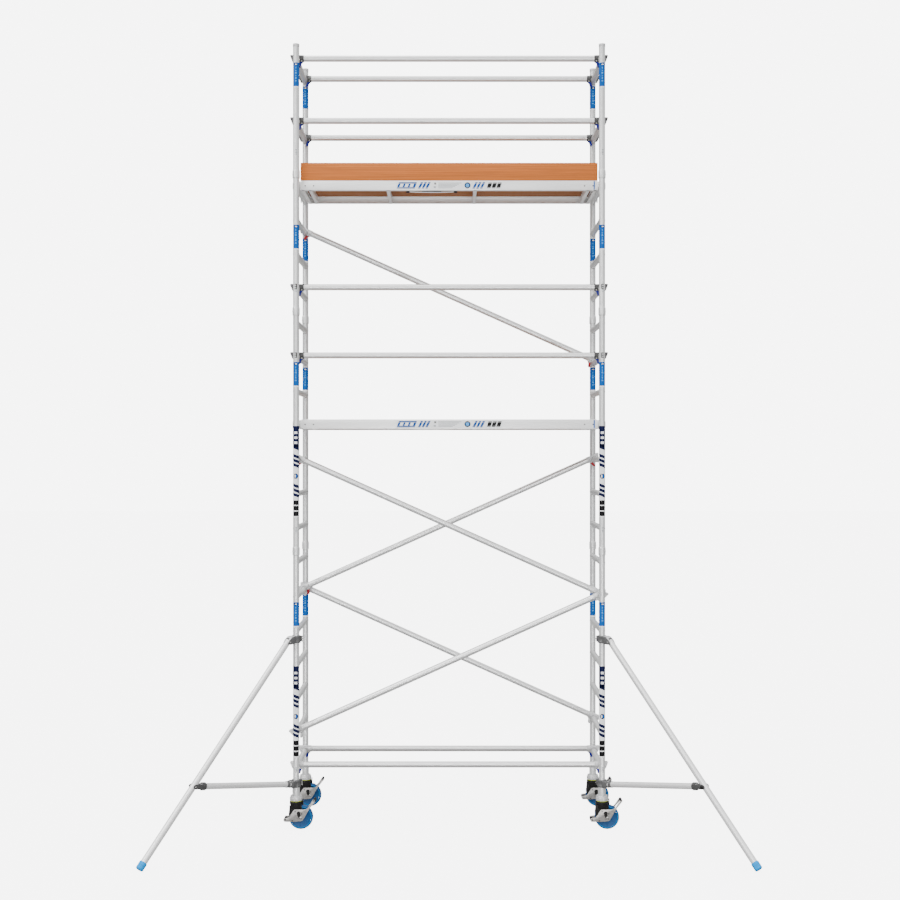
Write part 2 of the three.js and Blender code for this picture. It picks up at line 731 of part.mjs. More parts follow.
// ---------------------------------------------------------------- the whole tower
addFrames();
addBraces();
addPlatforms();
addToeBoards();
addCastors();
addOutriggers();

// The origin is the centre of the whole tower's footprint, on the floor.
const footprint = new THREE.Box3().setFromObject(tower);
tower.position.y = -(footprint.min.y + footprint.max.y) / 2;
tower.position.z = -footprint.min.z;

export default tower;
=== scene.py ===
"""The looks of a mobile tower scaffold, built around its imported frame. Metres, +Z up, front towards -Y."""

import math

import bmesh
import bpy
from mathutils import Matrix, Vector


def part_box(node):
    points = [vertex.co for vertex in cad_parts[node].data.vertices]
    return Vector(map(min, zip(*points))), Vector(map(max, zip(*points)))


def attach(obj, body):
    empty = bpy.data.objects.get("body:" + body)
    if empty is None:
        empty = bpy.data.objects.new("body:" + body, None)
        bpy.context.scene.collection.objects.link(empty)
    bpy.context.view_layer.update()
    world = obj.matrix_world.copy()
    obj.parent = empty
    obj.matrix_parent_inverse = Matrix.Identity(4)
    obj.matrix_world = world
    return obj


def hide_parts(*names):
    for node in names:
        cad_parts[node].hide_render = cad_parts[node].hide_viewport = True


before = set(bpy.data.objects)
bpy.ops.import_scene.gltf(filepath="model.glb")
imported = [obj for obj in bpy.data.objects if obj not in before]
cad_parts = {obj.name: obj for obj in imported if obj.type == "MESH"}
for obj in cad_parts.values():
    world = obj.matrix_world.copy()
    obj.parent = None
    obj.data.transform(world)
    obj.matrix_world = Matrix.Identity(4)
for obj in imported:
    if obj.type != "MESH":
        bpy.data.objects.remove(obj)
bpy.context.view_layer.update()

# ------------------------------------------------------------------ sizes, in metres
MM = 0.001
STANDARD_RADIUS = 25.4 * MM
SOCKET_RADIUS = 30 * MM
SOCKET_HEIGHT = 62 * MM
RUNG_RADIUS = 24 * MM
RUNG_PITCH = 280 * MM
FIRST_RUNG = 219 * MM
GUARD_RUNGS = (466 * MM, 977 * MM)
BRACE_RADIUS = 25 * MM
BRACE_RISE = 17 * MM
CLAW_THICKNESS = 38 * MM
HOOK_RADIUS = 25 * MM
TUBE_SIDES = 32
SHARP_ANGLE = math.radians(38)
EASED_ANGLE = math.radians(30)
UP = Vector((0, 0, 1))


def middle(node):
    """The middle of a CAD node's box."""
    low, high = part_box(node)
    return (low + high) / 2


LEFT = middle("guard_frame_left").x
RIGHT = middle("guard_frame_right").x
CENTRE_Y = middle("guard_frame_left").y
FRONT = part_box("guard_frame_left")[0].y + SOCKET_RADIUS
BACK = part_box("guard_frame_left")[1].y - SOCKET_RADIUS
ENDS = {"left": LEFT, "right": RIGHT}
SIDES = {"front": FRONT, "back": BACK}
BAY = RIGHT - LEFT
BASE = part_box("lower_frame_left")[0].z
GUARD_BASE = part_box("guard_frame_left")[0].z
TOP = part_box("guard_frame_left")[1].z


def rung_level(count):
    """The height of a rung's axis, counted from the lowest one."""
    return BASE + FIRST_RUNG + count * RUNG_PITCH


# ------------------------------------------------------------------ points, outlines and turns
ORIGIN = Matrix.Identity(4)
# Takes an XZ outline drawn out along Y to a YZ one drawn out along X.
ALONG_X = Matrix(((0, 1, 0, 0), (1, 0, 0, 0), (0, 0, 1, 0), (0, 0, 0, 1)))


def at(x, y, z):
    return Matrix.Translation((x, y, z))


def rotate(axis, degrees):
    return Matrix.Rotation(math.radians(degrees), 4, axis)


def polar(radius, angle):
    """A point by its radius and its angle in radians."""
    return radius * math.cos(angle), radius * math.sin(angle)


def arc(centre, radius, start, end, steps):
    """Points on an arc, its angles in degrees."""
    points = []
    for i in range(steps + 1):
        x, z = polar(radius, math.radians(start + (end - start) * i / steps))
        points.append((centre[0] + x, centre[1] + z))
    return points


def in_mm(points):
    """An outline given in millimetres."""
    return [(x * MM, z * MM) for x, z in points]


def mirrored(profile):
    """A (radius, height) profile with its mirror image above it."""
    return profile + [(radius, -height) for radius, height in reversed(profile)]


# ------------------------------------------------------------------ materials
PATCHINESS = 0.09
WHITE = (1, 1, 1, 1)


def set_inputs(node, **inputs):
    """Values set on a shader node's own sockets."""
    for name, value in inputs.items():
        node.inputs[name.replace("_", " ")].default_value = value
    return node


def node_of(tree, kind, **inputs):
    return set_inputs(tree.nodes.new("ShaderNode" + kind), **inputs)


def color_mix(tree, **inputs):
    mixed = tree.nodes.new("ShaderNodeMix")
    mixed.data_type = "RGBA"
    return set_inputs(mixed, **inputs)


def ramp(tree, *stops):
    """A colour ramp through (position, tone) stops."""
    made = node_of(tree, "ValToRGB")
    for i, (position, tone) in enumerate(stops):
        made.color_ramp.elements[i].position = position
        made.color_ramp.elements[i].color = (*tone, 1)
    return made


def join(tree, source, output, target, socket):
    tree.links.new(source.outputs[output], target.inputs[socket])


def material(
    name,
    color,
    spread,
    roughness,
    metallic=0.0,
    grain=(60, 60, 60),
    bump=0.1,
    depth=0.0002,
    coat=0.0,
    fleck=0.0,
    gloss=0.5,
):
    """A procedural finish: two tones mottled along a grain, patchy roughness, fine bump, flecks."""
    made = bpy.data.materials.new(name)
    made.use_nodes = True
    tree = made.node_tree
    shader = tree.nodes["Principled BSDF"]
    set_inputs(shader, Metallic=metallic, Coat_Weight=coat, Specular_IOR_Level=gloss)
    place = node_of(tree, "TexCoord")
    scaled = node_of(tree, "Mapping", Scale=grain)
    mottle = node_of(tree, "TexNoise", Scale=1.0, Detail=6.0, Roughness=0.6)
    dark = [c * (1 - spread) for c in color]
    pale = [min(1, c * (1 + spread)) for c in color]
    tones = ramp(tree, (0.3, dark), (0.7, pale))
    clouds = node_of(tree, "TexNoise", Scale=7.0, Detail=4.0)
    shine = node_of(
        tree,
        "MapRange",
        To_Min=max(0.05, roughness - PATCHINESS),
        To_Max=min(1, roughness + PATCHINESS),
    )
    dents = node_of(tree, "Bump", Strength=bump, Distance=depth)
    join(tree, place, "Object", scaled, "Vector")
    join(tree, scaled, "Vector", mottle, "Vector")
    join(tree, mottle, "Fac", tones, "Fac")
    join(tree, place, "Object", clouds, "Vector")
    join(tree, clouds, "Fac", shine, "Value")
    join(tree, shine, "Result", shader, "Roughness")
    join(tree, mottle, "Fac", dents, "Height")
    join(tree, dents, "Normal", shader, "Normal")
    if not fleck:
        join(tree, tones, "Color", shader, "Base Color")
        return made
    specks = node_of(tree, "TexVoronoi", Scale=160.0)
    chosen = ramp(tree, (0.06, (1 - fleck,) * 3), (0.12, (1, 1, 1)))
    mixed = color_mix(tree, Factor=1)
    mixed.blend_type = "MULTIPLY"
    join(tree, place, "Object", specks, "Vector")
    join(tree, specks, "Distance", chosen, "Fac")
    join(tree, tones, "Color", mixed, "A")
    join(tree, chosen, "Color", mixed, "B")
    join(tree, mixed, "Result", shader, "Base Color")
    return made


def aluminium(name, color, along, metallic=0.55):
    """Satin extruded aluminium, drawn along one axis."""
    grain = [900, 900, 900]
    grain["xyz".index(along)] = 6
    return material(name, color, 0.06, 0.36, metallic, grain, bump=0.12, fleck=0.1)


def wood(name, color, dark, bump):
    """Timber with its grain along X."""
    made = material(name, color, 0.16, 0.7, grain=(1.6, 70, 70), bump=bump, depth=0.0004, gloss=0.2)
    tree = made.node_tree
    shader = tree.nodes["Principled BSDF"]
    tones = shader.inputs["Base Color"].links[0].from_socket
    place = node_of(tree, "TexCoord")
    scaled = node_of(tree, "Mapping", Scale=(0.7, 9, 9))
    rings = node_of(tree, "TexWave", Scale=2.2, Distortion=7.0, Detail=3.0)
    rings.bands_direction = "Z"
    faint = node_of(tree, "MapRange", To_Max=0.34)
    mixed = color_mix(tree, B=(*dark, 1))
    join(tree, place, "Object", scaled, "Vector")
    join(tree, scaled, "Vector", rings, "Vector")
    join(tree, rings, "Fac", faint, "Value")
    join(tree, faint, "Result", mixed, "Factor")
    tree.links.new(tones, mixed.inputs["A"])
    join(tree, mixed, "Result", shader, "Base Color")
    return made


def cast(name, tone, spread=0.14, roughness=0.5):
    """Sand-cast aluminium of one grey tone."""
    return material(name, (tone, tone, tone * 1.01), spread, roughness, 0.5, (500,) * 3, 0.4)


def plastic(name, color, roughness=0.4, grain=200, bump=0.1, coat=0.0, gloss=0.25):
    """Moulded plastic, paint or a printed label."""
    return material(name, color, 0.08, roughness, 0.0, (grain,) * 3, bump, coat=coat, gloss=gloss)


def label(name, color):
    """A printed film with little gloss."""
    return plastic(name, color, 0.4, 90, 0.03, gloss=0.12)


ALU_UPRIGHT = aluminium("aluminium_upright", (0.68, 0.685, 0.685), "z")
ALU_RUNG = aluminium("aluminium_rung", (0.64, 0.645, 0.645), "y")
ALU_BRACE = aluminium("aluminium_brace", (0.7, 0.7, 0.7), "x", 0.8)
ALU_DECK = aluminium("aluminium_deck", (0.9, 0.9, 0.895), "x", 0.3)
ALU_STRUT = material("aluminium_strut", (0.76, 0.76, 0.76), 0.05, 0.38, metallic=0.5, fleck=0.1)
WELD = material("weld_bead", (0.55, 0.55, 0.55), 0.12, 0.4, metallic=0.7, grain=(400,) * 3, bump=0.3)
# On the rails' claws CAST and CAST_LIGHT are shaded and lit copies of one casting: the dark CAST on the
# raised rails is painted shade.
CAST = cast("cast_aluminium", 0.075)
CAST_LIGHT = cast("cast_light", 0.6, 0.08)
CLAMP_CAST = cast("clamp_casting", 0.12)
NUT = cast("cast_nut", 0.55, 0.08, 0.45)
ZINC = material("zinc_plate", (0.41, 0.4, 0.385), 0.2, 0.42, metallic=0.7, grain=(70,) * 3, bump=0.08)
STEEL = material("bright_steel", (0.42, 0.42, 0.41), 0.1, 0.3, metallic=0.85, grain=(250,) * 3)
BLACK = plastic("black_paint", (0.0025, 0.0025, 0.0024), 0.45, 180, 0.2, gloss=0.3)
BLACK_PLASTIC = plastic("black_plastic", (0.006, 0.006, 0.006), 0.5, 300)
TYRE = plastic("blue_tyre", (0.005, 0.062, 0.19), 0.5, 220, 0.12)
# The wheel is one blue plastic; the rim lip's paler blue is a painted highlight along its edge.
RIM_HIGHLIGHT = plastic("blue_rim_highlight", (0.01, 0.2, 0.52), 0.35, 160, 0.1, coat=0.2)
FOOT = plastic("blue_foot", (0.0, 0.24, 0.6), 0.7, 260, 0.25, gloss=0.05)
LIME = plastic("lime_seal", (0.42, 0.5, 0.0), 0.4)
LATCH_BLUE = plastic("latch_blue", (0.0, 0.004, 0.2), 0.4)
LATCH_RED = plastic("latch_red", (0.3, 0.0, 0.008), 0.4)
LABEL_BLUE = label("label_blue", (0.0, 0.08, 0.35))
LABEL_WHITE = label("label_white", (0.86, 0.87, 0.88))
LABEL_PALE = label("label_pale_blue", (0.09, 0.33, 0.7))
LABEL_DEEP = label("label_deep_blue", (0.0, 0.055, 0.25))
LABEL_NAVY = label("label_navy", (0.001, 0.003, 0.035))
LABEL_GREY = label("label_grey", (0.3, 0.32, 0.34))
LABEL_BLACK = label("label_black", (0.004, 0.004, 0.005))
TOE_WOOD = wood("toe_board_wood", (0.52, 0.15, 0.03), (0.3, 0.07, 0.01), 0.25)
PLY = wood("brown_plywood", (0.33, 0.125, 0.04), (0.2, 0.07, 0.02), 0.2)


# ------------------------------------------------------------------ mesh making
def add_object(name, data):
    made = bpy.data.objects.new(name, data)
    bpy.context.scene.collection.objects.link(made)
    return made


class Shape:
    """A mesh put together from closed parts."""

    def __init__(self):
        self.bm = bmesh.new()
        self.paints = []

    def paint(self, finish):
        """The slot number of a material in this mesh."""
        if finish not in self.paints:
            self.paints.append(finish)
        return self.paints.index(finish)

    def take(self, part, finish, place):
        """Adds a finished part, moved to its place."""
        bmesh.ops.recalc_face_normals(part, faces=part.faces[:])
        slot = self.paint(finish)
        for face in part.faces:
            face.material_index = slot
            face.smooth = True
        for edge in part.edges:
            edge.smooth = len(edge.link_faces) != 2 or edge.calc_face_angle() < SHARP_ANGLE
        part.transform(place)
        if place.determinant() < 0:
            bmesh.ops.reverse_faces(part, faces=part.faces[:])
        held = bpy.data.meshes.new("part")
        part.to_mesh(held)
        part.free()
        self.bm.from_mesh(held)
        bpy.data.meshes.remove(held)

    def loft(self, rings, finish, place=ORIGIN, loop=False):
        """Skins equal rings of points, ending in flat caps or closing on itself."""
        part = bmesh.new()
        made = [[part.verts.new(point) for point in ring] for ring in rings]
        count = len(rings[0])
        pairs = list(zip(made, made[1:])) + ([(made[-1], made[0])] if loop else [])
        for one, two in pairs:
            for i in range(count):
                j = (i + 1) % count
                part.faces.new((one[i], one[j], two[j], two[i]))
        if not loop:
            part.faces.new(made[0])
            part.faces.new(made[-1])
        self.take(part, finish, place)

    def turned(self, profile, finish, place=ORIGIN, sides=TUBE_SIDES, loop=False, lobes=0, dip=0.0):
        """A solid turned about Z from (radius, height) points; lobes scallop it."""
        rings = []
        for radius, height in profile:
            ring = []
            for i in range(sides):
                angle = math.tau * i / sides
                reach = radius - dip * (0.5 - 0.5 * math.cos(lobes * angle))
                ring.append((*polar(reach, angle), height))
            rings.append(ring)
        self.loft(rings, finish, place, loop)

    def prism(self, outline, thickness, finish, place=ORIGIN, bevel=0.0, steps=2):
        """An XZ outline given thickness along Y, centred, with its edges eased."""
        part = bmesh.new()
        half = thickness / 2
        near = [part.verts.new((x, -half, z)) for x, z in outline]
        far = [part.verts.new((x, half, z)) for x, z in outline]
        part.faces.new(near)
        part.faces.new(list(reversed(far)))
        for i in range(len(outline)):
            j = (i + 1) % len(outline)
            part.faces.new((near[i], far[i], far[j], near[j]))
        bmesh.ops.recalc_face_normals(part, faces=part.faces[:])
        if bevel:
            bmesh.ops.bevel(
                part,
                geom=[edge for edge in part.edges if edge.calc_face_angle() > EASED_ANGLE],
                offset=bevel,
                segments=steps,
                profile=0.5,
                affect="EDGES",
                clamp_overlap=True,
            )
        self.take(part, finish, place)

    def block(self, low, high, finish, place=ORIGIN, bevel=0.0):
        """A block between two corners with eased edges."""
        (x0, y0, z0), (x1, y1, z1) = low, high
        outline = [(x0, z0), (x1, z0), (x1, z1), (x0, z1)]
        self.prism(outline, y1 - y0, finish, place @ at(0, (y0 + y1) / 2, 0), bevel)

    def rod(self, start, end, radius, finish, place=ORIGIN, sides=16, ease=0.0):
        """A round bar between two points, with eased ends."""
        start = Vector(start)
        end = Vector(end)
        length = (end - start).length
        turn = UP.rotation_difference(end - start).to_matrix().to_4x4()
        profile = [(radius, ease), (radius, length - ease)]
        if ease:
            profile = [(radius - ease, 0), *profile, (radius - ease, length)]
        self.turned(profile, finish, place @ at(*start) @ turn, sides)

    def pin(self, x, half, z, radius, finish, place=ORIGIN, sides=16, ease=0.0):
        """A round bar along Y, reaching as far to one side as to the other."""
        self.rod((x, -half, z), (x, half, z), radius, finish, place, sides, ease)

    def sweep(self, points, radius, finish, place=ORIGIN, sides=8, loop=False, flat=1.0):
        """A bar swept along points; flat squeezes its section across the sweep's own plane."""
        points = [Vector(p) for p in points]
        rings = []
        side = None
        count = len(points)
        for i, point in enumerate(points):
            before = points[(i - 1) % count] if loop or i else point
            after = points[(i + 1) % count] if loop or i < count - 1 else point
            along = (after - before).normalized()
            if side is None:
                side = along.orthogonal().normalized()
            side = (side - along * side.dot(along)).normalized()
            other = along.cross(side)
            size = radius[i] if isinstance(radius, list) else radius
            ring = []
            for k in range(sides):
                across, up = polar(size, math.tau * k / sides)
                ring.append(point + side * across + other * flat * up)
            rings.append(ring)
        self.loft(rings, finish, place, loop)

    def piece(self, name, body, slot, *nodes):
        """The finished object, riding on a body and standing for CAD nodes."""
        data = bpy.data.meshes.new(name)
        self.bm.to_mesh(data)
        self.bm.free()
        for finish in self.paints:
            data.materials.append(finish)
        made = add_object(name, data)
        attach(made, body)
        if nodes:
            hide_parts(*nodes)


# A label's back lies this far inside the tube.
LABEL_ROOT = -0.6 * MM


def wrap(shape, axis, low, high, facing, spread, finish, lift, slant=0.0):
    """A thin label round a standard, its angles in degrees from -Y; slant shears it upwards."""
    steps = max(4, int(spread / 9))
    rings = []
    for i in range(steps + 1):
        part = i / steps
        angle = math.radians(facing - 90 - spread / 2 + spread * part)
        rise = slant * (part - 0.5)
        ring = []
        for reach, z in ((LABEL_ROOT, low), (lift, low), (lift, high), (LABEL_ROOT, high)):
            x, y = polar(STANDARD_RADIUS + reach, angle)
            ring.append((axis[0] + x, axis[1] + y, z + rise))
        rings.append(ring)
    shape.loft(rings, finish)


# ------------------------------------------------------------------ end frames
CAP_HEIGHT = 6 * MM
CAP_PROFILE = in_mm([(26.2, -20), (27.2, -18.5), (27.2, 2), (26.2, 4.5), (21, 6)])
BUTTON_PROFILE = in_mm([(4.5, 0), (4.5, 1.8), (3, 3.4), (1, 3.8)])
WELD_STEPS = 48
WELD_RIPPLES = 24
WELD_RADIUS = 3 * MM
WELD_RIPPLE = 0.5 * MM


def weld_bead(shape, x, y, z, inward):
    """The rippled bead where a rung meets a standard."""
    points = []
    sizes = []
    for i in range(WELD_STEPS):
        angle = math.tau * i / WELD_STEPS
        up, across = polar(RUNG_RADIUS + MM, angle)
        reach = math.sqrt(STANDARD_RADIUS**2 - across**2)
        points.append((x + across, y + inward * reach, z + up))
        sizes.append(WELD_RADIUS + WELD_RIPPLE * math.sin(angle * WELD_RIPPLES))
    shape.sweep(points, sizes, WELD, sides=6, loop=True)


def standard(shape, x, y, base, top, closed):
    """A tube with its flared socket; the uppermost ones end in a cap."""
    height = top - base - (CAP_HEIGHT if closed else 0)
    profile = [
        (SOCKET_RADIUS - 0.0012, 0),
        (SOCKET_RADIUS, 0.0012),
        (SOCKET_RADIUS, SOCKET_HEIGHT - 0.006),
        (SOCKET_RADIUS - 0.0012, SOCKET_HEIGHT),
        (STANDARD_RADIUS + 0.0006, SOCKET_HEIGHT + 0.006),
        (STANDARD_RADIUS, SOCKET_HEIGHT + 0.009),
        (STANDARD_RADIUS, height - 0.001),
        (STANDARD_RADIUS - 0.001, height),
    ]
    shape.turned(profile, ALU_UPRIGHT, at(x, y, base))
    if closed:
        shape.turned(CAP_PROFILE, CAST_LIGHT, at(x, y, base + height))
    # The spring button that locks the socket to the spigot inside it.
    outward = -1 if x < 0 else 1
    place = at(x + outward * (SOCKET_RADIUS - 0.001), y, base + SOCKET_HEIGHT / 2)
    shape.turned(BUTTON_PROFILE, STEEL, place @ rotate("Y", outward * 90), 14)


FLUTES = 40
FLUTE_DEPTH = 0.6 * MM
RUNG_INSET = 6 * MM


def rung(shape, x, z):
    """A fluted rung between the standards."""
    rings = []
    for y in (FRONT + RUNG_INSET, BACK - RUNG_INSET):
        ring = []
        for i in range(FLUTES):
            dx, dz = polar(RUNG_RADIUS - FLUTE_DEPTH * (i % 2), math.tau * i / FLUTES)
            ring.append((x + dx, y, z + dz))
        rings.append(ring)
    shape.loft(rings, ALU_RUNG)
    weld_bead(shape, x, FRONT, z, 1)
    weld_bead(shape, x, BACK, z, -1)


FRAME_GAP = 0.4 * MM
# The rungs of each frame, counted from the tower's lowest; the guard frame has its own heights.
FRAMES = {
    "lower_frame": range(0, 7),
    "middle_frame": range(7, 14),
    "upper_frame": range(14, 18),
    "guard_frame": (),
}


def end_frame(level, end, counts):
    shape = Shape()
    x = ENDS[end]
    node = f"{level}_{end}"
    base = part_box(node)[0].z
    top = TOP
    heights = [base + height for height in GUARD_RUNGS]
    if counts:
        heights = [rung_level(count) for count in counts]
        top = base + len(counts) * RUNG_PITCH - FRAME_GAP
    for y in (FRONT, BACK):
        standard(shape, x, y, base, top, not counts)
    for z in heights:
        rung(shape, x, z)
    shape.piece(f"{node}_tubes", "tower", "frame_tube", node)


BLUE_LABEL_HEIGHT = 0.193
BLUE_LABEL_DROP = 0.383
GUARD_LABEL_TOP = 6.256
STRIP_LOW = 0.311
STRIP_HIGH = 1.055
STRIPE_SLANT = -0.026
# How far each layer of a label stands off the tube.
FILM = 0.7 * MM
OVER_FILM = 0.9 * MM


def blue_label(shape, axis, top):
    """A blue wrap with a pale lower border and a few pale dashes."""
    low = top - BLUE_LABEL_HEIGHT
    wrap(shape, axis, low, top, 0, 330, LABEL_BLUE, 0.0004)
    wrap(shape, axis, low - 0.012, low - 0.001, 0, 330, LABEL_WHITE, 0.0005)
    for facing in (-110, 0, 110):
        wrap(shape, axis, top - 0.022, top - 0.008, facing, 62, LABEL_NAVY, 0.0006)
        wrap(shape, axis, top - 0.0195, top - 0.0115, facing + 4, 34, LABEL_WHITE, OVER_FILM)
        for row in range(6):
            z = top - 0.05 - row * 0.021
            dash = 0.013 - 0.004 * (row % 2)
            wrap(shape, axis, z, z + dash, facing, 15 + 7 * (row % 3), LABEL_PALE, FILM)


# Each disc's radius, facing angle, part of its full width, finish and lift.
BADGE = (
    (0.021, 0, 1, LABEL_NAVY, FILM),
    (0.013, -13, 0.4, LABEL_WHITE, 0.001),
    (0.014, 14, 0.5, LABEL_BLUE, 0.001),
)


def striped_strip(shape, axis, base):
    """The pale strip: a navy block, slanted stripes, a round badge and dark blocks at its foot."""
    low = base + STRIP_LOW
    high = base + STRIP_HIGH
    span = high - low

    def band(top, bottom, spread, finish, lift, slant=0.0):
        wrap(shape, axis, high - bottom * span, high - top * span, 0, spread, finish, lift, slant)

    band(0, 1, 170, LABEL_WHITE, 0.0004)
    band(0, 0.235, 158, LABEL_NAVY, FILM)
    band(0.2, 0.255, 158, LABEL_NAVY, FILM, STRIPE_SLANT)
    for top in (0.06, 0.115, 0.17):
        band(top, top + 0.026, 56, LABEL_WHITE, OVER_FILM)
    for top in (0.315, 0.64):
        for bar in range(3):
            start = top + 0.05 * bar
            band(start, start + 0.034, 156, LABEL_NAVY, FILM, STRIPE_SLANT)
    centre = high - 0.55 * span
    for radius, facing, part, finish, lift in BADGE:
        for row in range(8):
            z0 = -radius + radius * row / 4
            z1 = z0 + radius / 4
            half = math.sqrt(max(0.0, radius**2 - ((z0 + z1) / 2) ** 2))
            spread = math.degrees(2 * half / STANDARD_RADIUS) * part
            wrap(shape, axis, centre + z0, centre + z1, facing, spread, finish, lift)
    for top in (0.815, 0.876, 0.937):
        band(top, top + 0.05, 120, LABEL_BLACK, FILM)


JAW_HEIGHTS = (rung_level(12), rung_level(14))


def jaw_mark(shape, axis, z, inward):
    """The dark pawl of a rail's claw, where it grips the standard."""
    wrap(shape, axis, z - 0.008, z + 0.036, 14 * inward, 16, LABEL_BLACK, OVER_FILM)
    for height in (-0.008, 0.009, 0.027):
        wrap(shape, axis, z + height, z + height + 0.009, -6 * inward, 34, CAST, 0.0008)


def frame_labels(level, end):
    shape = Shape()
    node = f"{level}_{end}"
    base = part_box(node)[0].z
    count = len(FRAMES[level])
    top = base + count * RUNG_PITCH - BLUE_LABEL_DROP if count else GUARD_LABEL_TOP
    for side, y in SIDES.items():
        axis = (ENDS[end], y)
        blue_label(shape, axis, top)
        if side == "front" and count == 7:
            striped_strip(shape, axis, base)
        if side == "front":
            for z in JAW_HEIGHTS:
                if base < z < base + (count * RUNG_PITCH or TOP):
                    jaw_mark(shape, axis, z, 1 if end == "left" else -1)
        mark = base + FIRST_RUNG - 0.03
        for row in range(4):
            z = mark + row * 0.012
            wrap(shape, axis, z, z + 0.007, 6, 26 + 8 * (row % 2), LABEL_GREY, 0.0005)
    shape.piece(f"{node}_labels", "tower", "frame_tube")


def build_frames():
    for level, counts in FRAMES.items():
        for end in ENDS:
            end_frame(level, end, counts)
            frame_labels(level, end)


# ------------------------------------------------------------------ braces and rails
def claw_outline():
    """A claw over a rung at the origin, its brace running off towards +X, in metres."""
    nose = in_mm([(53, 42), (-46, 44), (-54, 41), (-55, 36), (-38, -8), (-33, -14), (-26, -14)])
    return nose + arc((0, 0), HOOK_RADIUS, 207, 0, 12) + in_mm([(25.4, -14), (44, -14), (50, -10), (53, -6)])


LATCH_OUTLINE = in_mm(
    [(47, -4), (50, -12), (41, -20), (35, -30), (33, -40), (28, -53), (15, -54), (10, -46)]
    + [(15, -32), (21, -19), (30, -9), (36, -4)]
)
POCKET_OUTLINE = in_mm([(30, 4), (46, 4), (52, 12), (52, 26), (40, 32), (4, 33), (4, 30), (24, 22)])
COLLAR = in_mm([(21, 28), (26.5, 30), (26.5, 50), (27.5, 52), (27.5, 58), (23, 60)])
TUBE_PINS = (0.068, 0.086)
PIN_HALF = BRACE_RADIUS + 0.003
CLAW_LENGTH = 0.056


def claw(shape, place, finish, latch_finish):
    """A cast claw with its raised rim, the tube's rolled collar and pins, the latch and its pivot."""
    shape.prism(claw_outline(), CLAW_THICKNESS, finish, place, bevel=0.0035, steps=3)
    shape.prism(POCKET_OUTLINE, CLAW_THICKNESS + 0.003, finish, place, bevel=0.001)
    shape.turned(COLLAR, finish, place @ at(0, 0, BRACE_RISE) @ rotate("Y", 90), 28)
    for x in TUBE_PINS:
        shape.pin(x, PIN_HALF, BRACE_RISE, 0.003, STEEL, place, 10)
    shape.prism(LATCH_OUTLINE, 0.03, latch_finish, place, bevel=0.0022)
    shape.pin(0.042, 0.0215, -0.006, 0.0045, STEEL, place, 12, 0.0008)


def brace(node, left_z, right_z, claw_lit_or_shaded, latch_finish):
    """A tube between two claws, over a rung at each end."""
    shape = Shape()
    rise = right_z - left_z
    span = math.hypot(BAY, rise)
    slope = Matrix.Rotation(-math.atan2(rise, BAY), 4, "Y")
    place = at((LEFT + RIGHT) / 2, middle(node).y, (left_z + right_z) / 2) @ slope
    end = span / 2 - CLAW_LENGTH
    shape.rod((-end, 0, BRACE_RISE), (end, 0, BRACE_RISE), BRACE_RADIUS, ALU_BRACE, place, TUBE_SIDES)
    claw(shape, place @ at(-span / 2, 0, 0), claw_lit_or_shaded, latch_finish)
    claw(shape, place @ at(span / 2, 0, 0) @ rotate("Z", 180), claw_lit_or_shaded, latch_finish)
    shape.piece(f"{node}_tube", "tower", "brace_tube", node)


# The rungs that each brace hooks over at the left and the right, counted from the lowest.
DIAGONALS = {
    "diagonal_lower_front": (1, 5),
    "diagonal_lower_back": (5, 1),
    "diagonal_middle_front": (9, 5),
    "diagonal_middle_back": (5, 9),
    "diagonal_upper_back": (16, 12),
}
RAILS = {
    "base_rail_front": 0,
    "base_rail_back": 0,
    "middle_knee_rail_front": 12,
    "middle_guard_rail_front": 14,
}


def build_braces():
    for node, (left, right) in DIAGONALS.items():
        latch_finish = CAST_LIGHT if 1 in (left, right) else LATCH_RED
        brace(node, rung_level(left), rung_level(right), CAST_LIGHT, latch_finish)
    for node, count in RAILS.items():
        # The raised rails' claws take the dark CAST, painted shade of their undersides seen from below; the
        # base rails' claws, like the diagonals', take the lit CAST_LIGHT.
        finish = CAST if count else CAST_LIGHT
        brace(node, rung_level(count), rung_level(count), finish, LATCH_BLUE)
    # The guard frame's rails are raised too, so their claws also take the dark CAST as painted shade.
    for name, height in zip(("knee_rail", "guard_rail"), GUARD_RUNGS):
        for side in SIDES:
            brace(f"{name}_{side}", GUARD_BASE + height, GUARD_BASE + height, CAST, LATCH_BLUE)


# ------------------------------------------------------------------ platforms and toe boards
PLATFORM_RUNGS = {"lower": 10, "upper": 17}
DECK_LOW, DECK_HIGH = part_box("upper_platform_frame")
PLATFORM_RISE = DECK_HIGH.z - rung_level(PLATFORM_RUNGS["upper"])
BEAM_HEIGHT = DECK_HIGH.z - DECK_LOW.z
BEAM_WIDTH = 0.04
BEAM_SHEET = 0.004
BEAM_LIP = 0.025
GROOVES = (-0.024, -0.056)
GROOVE_INSET = 0.05
RIVETS = (-1.182, -1.113, 1.113, 1.182)
RIVET_HEIGHT = -0.042
RIVET_PROFILE = in_mm([(5.8, 0), (5.2, 1.4), (3, 2.6), (0.8, 3)])
BOARD_DROP = 0.008
BOARD_THICKNESS = 0.012
BOARD_GAP = 0.0004
HATCH_LOW, HATCH_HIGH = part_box("upper_platform_hatch")
HATCH_HALF = (HATCH_HIGH.y - HATCH_LOW.y) / 2 + 0.003
HATCH_ENDS = (-0.503, 0.215)
OUTER_CROSS = 1.144
CROSS_WIDTH = 0.026
# The end members are channels: their width, their sheet and their upper lip.
END_MEMBER = 0.024
END_SHEET = 0.0035
END_LIP = 0.016
# The hatch lies this far over the cross members.
HATCH_REST = 0.0095
HINGE_INSET = 0.16
HINGE_HALF = 0.03
HINGE_SCREW = in_mm([(4, 0), (3, 1.2)])
STRAP_HALF = 0.19
STRAP_STEPS = 24


def platform_hook():
    """A hook over a rung at the origin, its beam running off towards +X."""
    points = in_mm([(52, 47), (-20, 47), (-31, 40), (-36, 30), (-36, -14), (-33, -20), (-28, -20)])
    points += arc((0, 0), 0.0256, 195, 0, 12)
    return points + in_mm([(25.6, -22), (30, -25), (52, -25)])


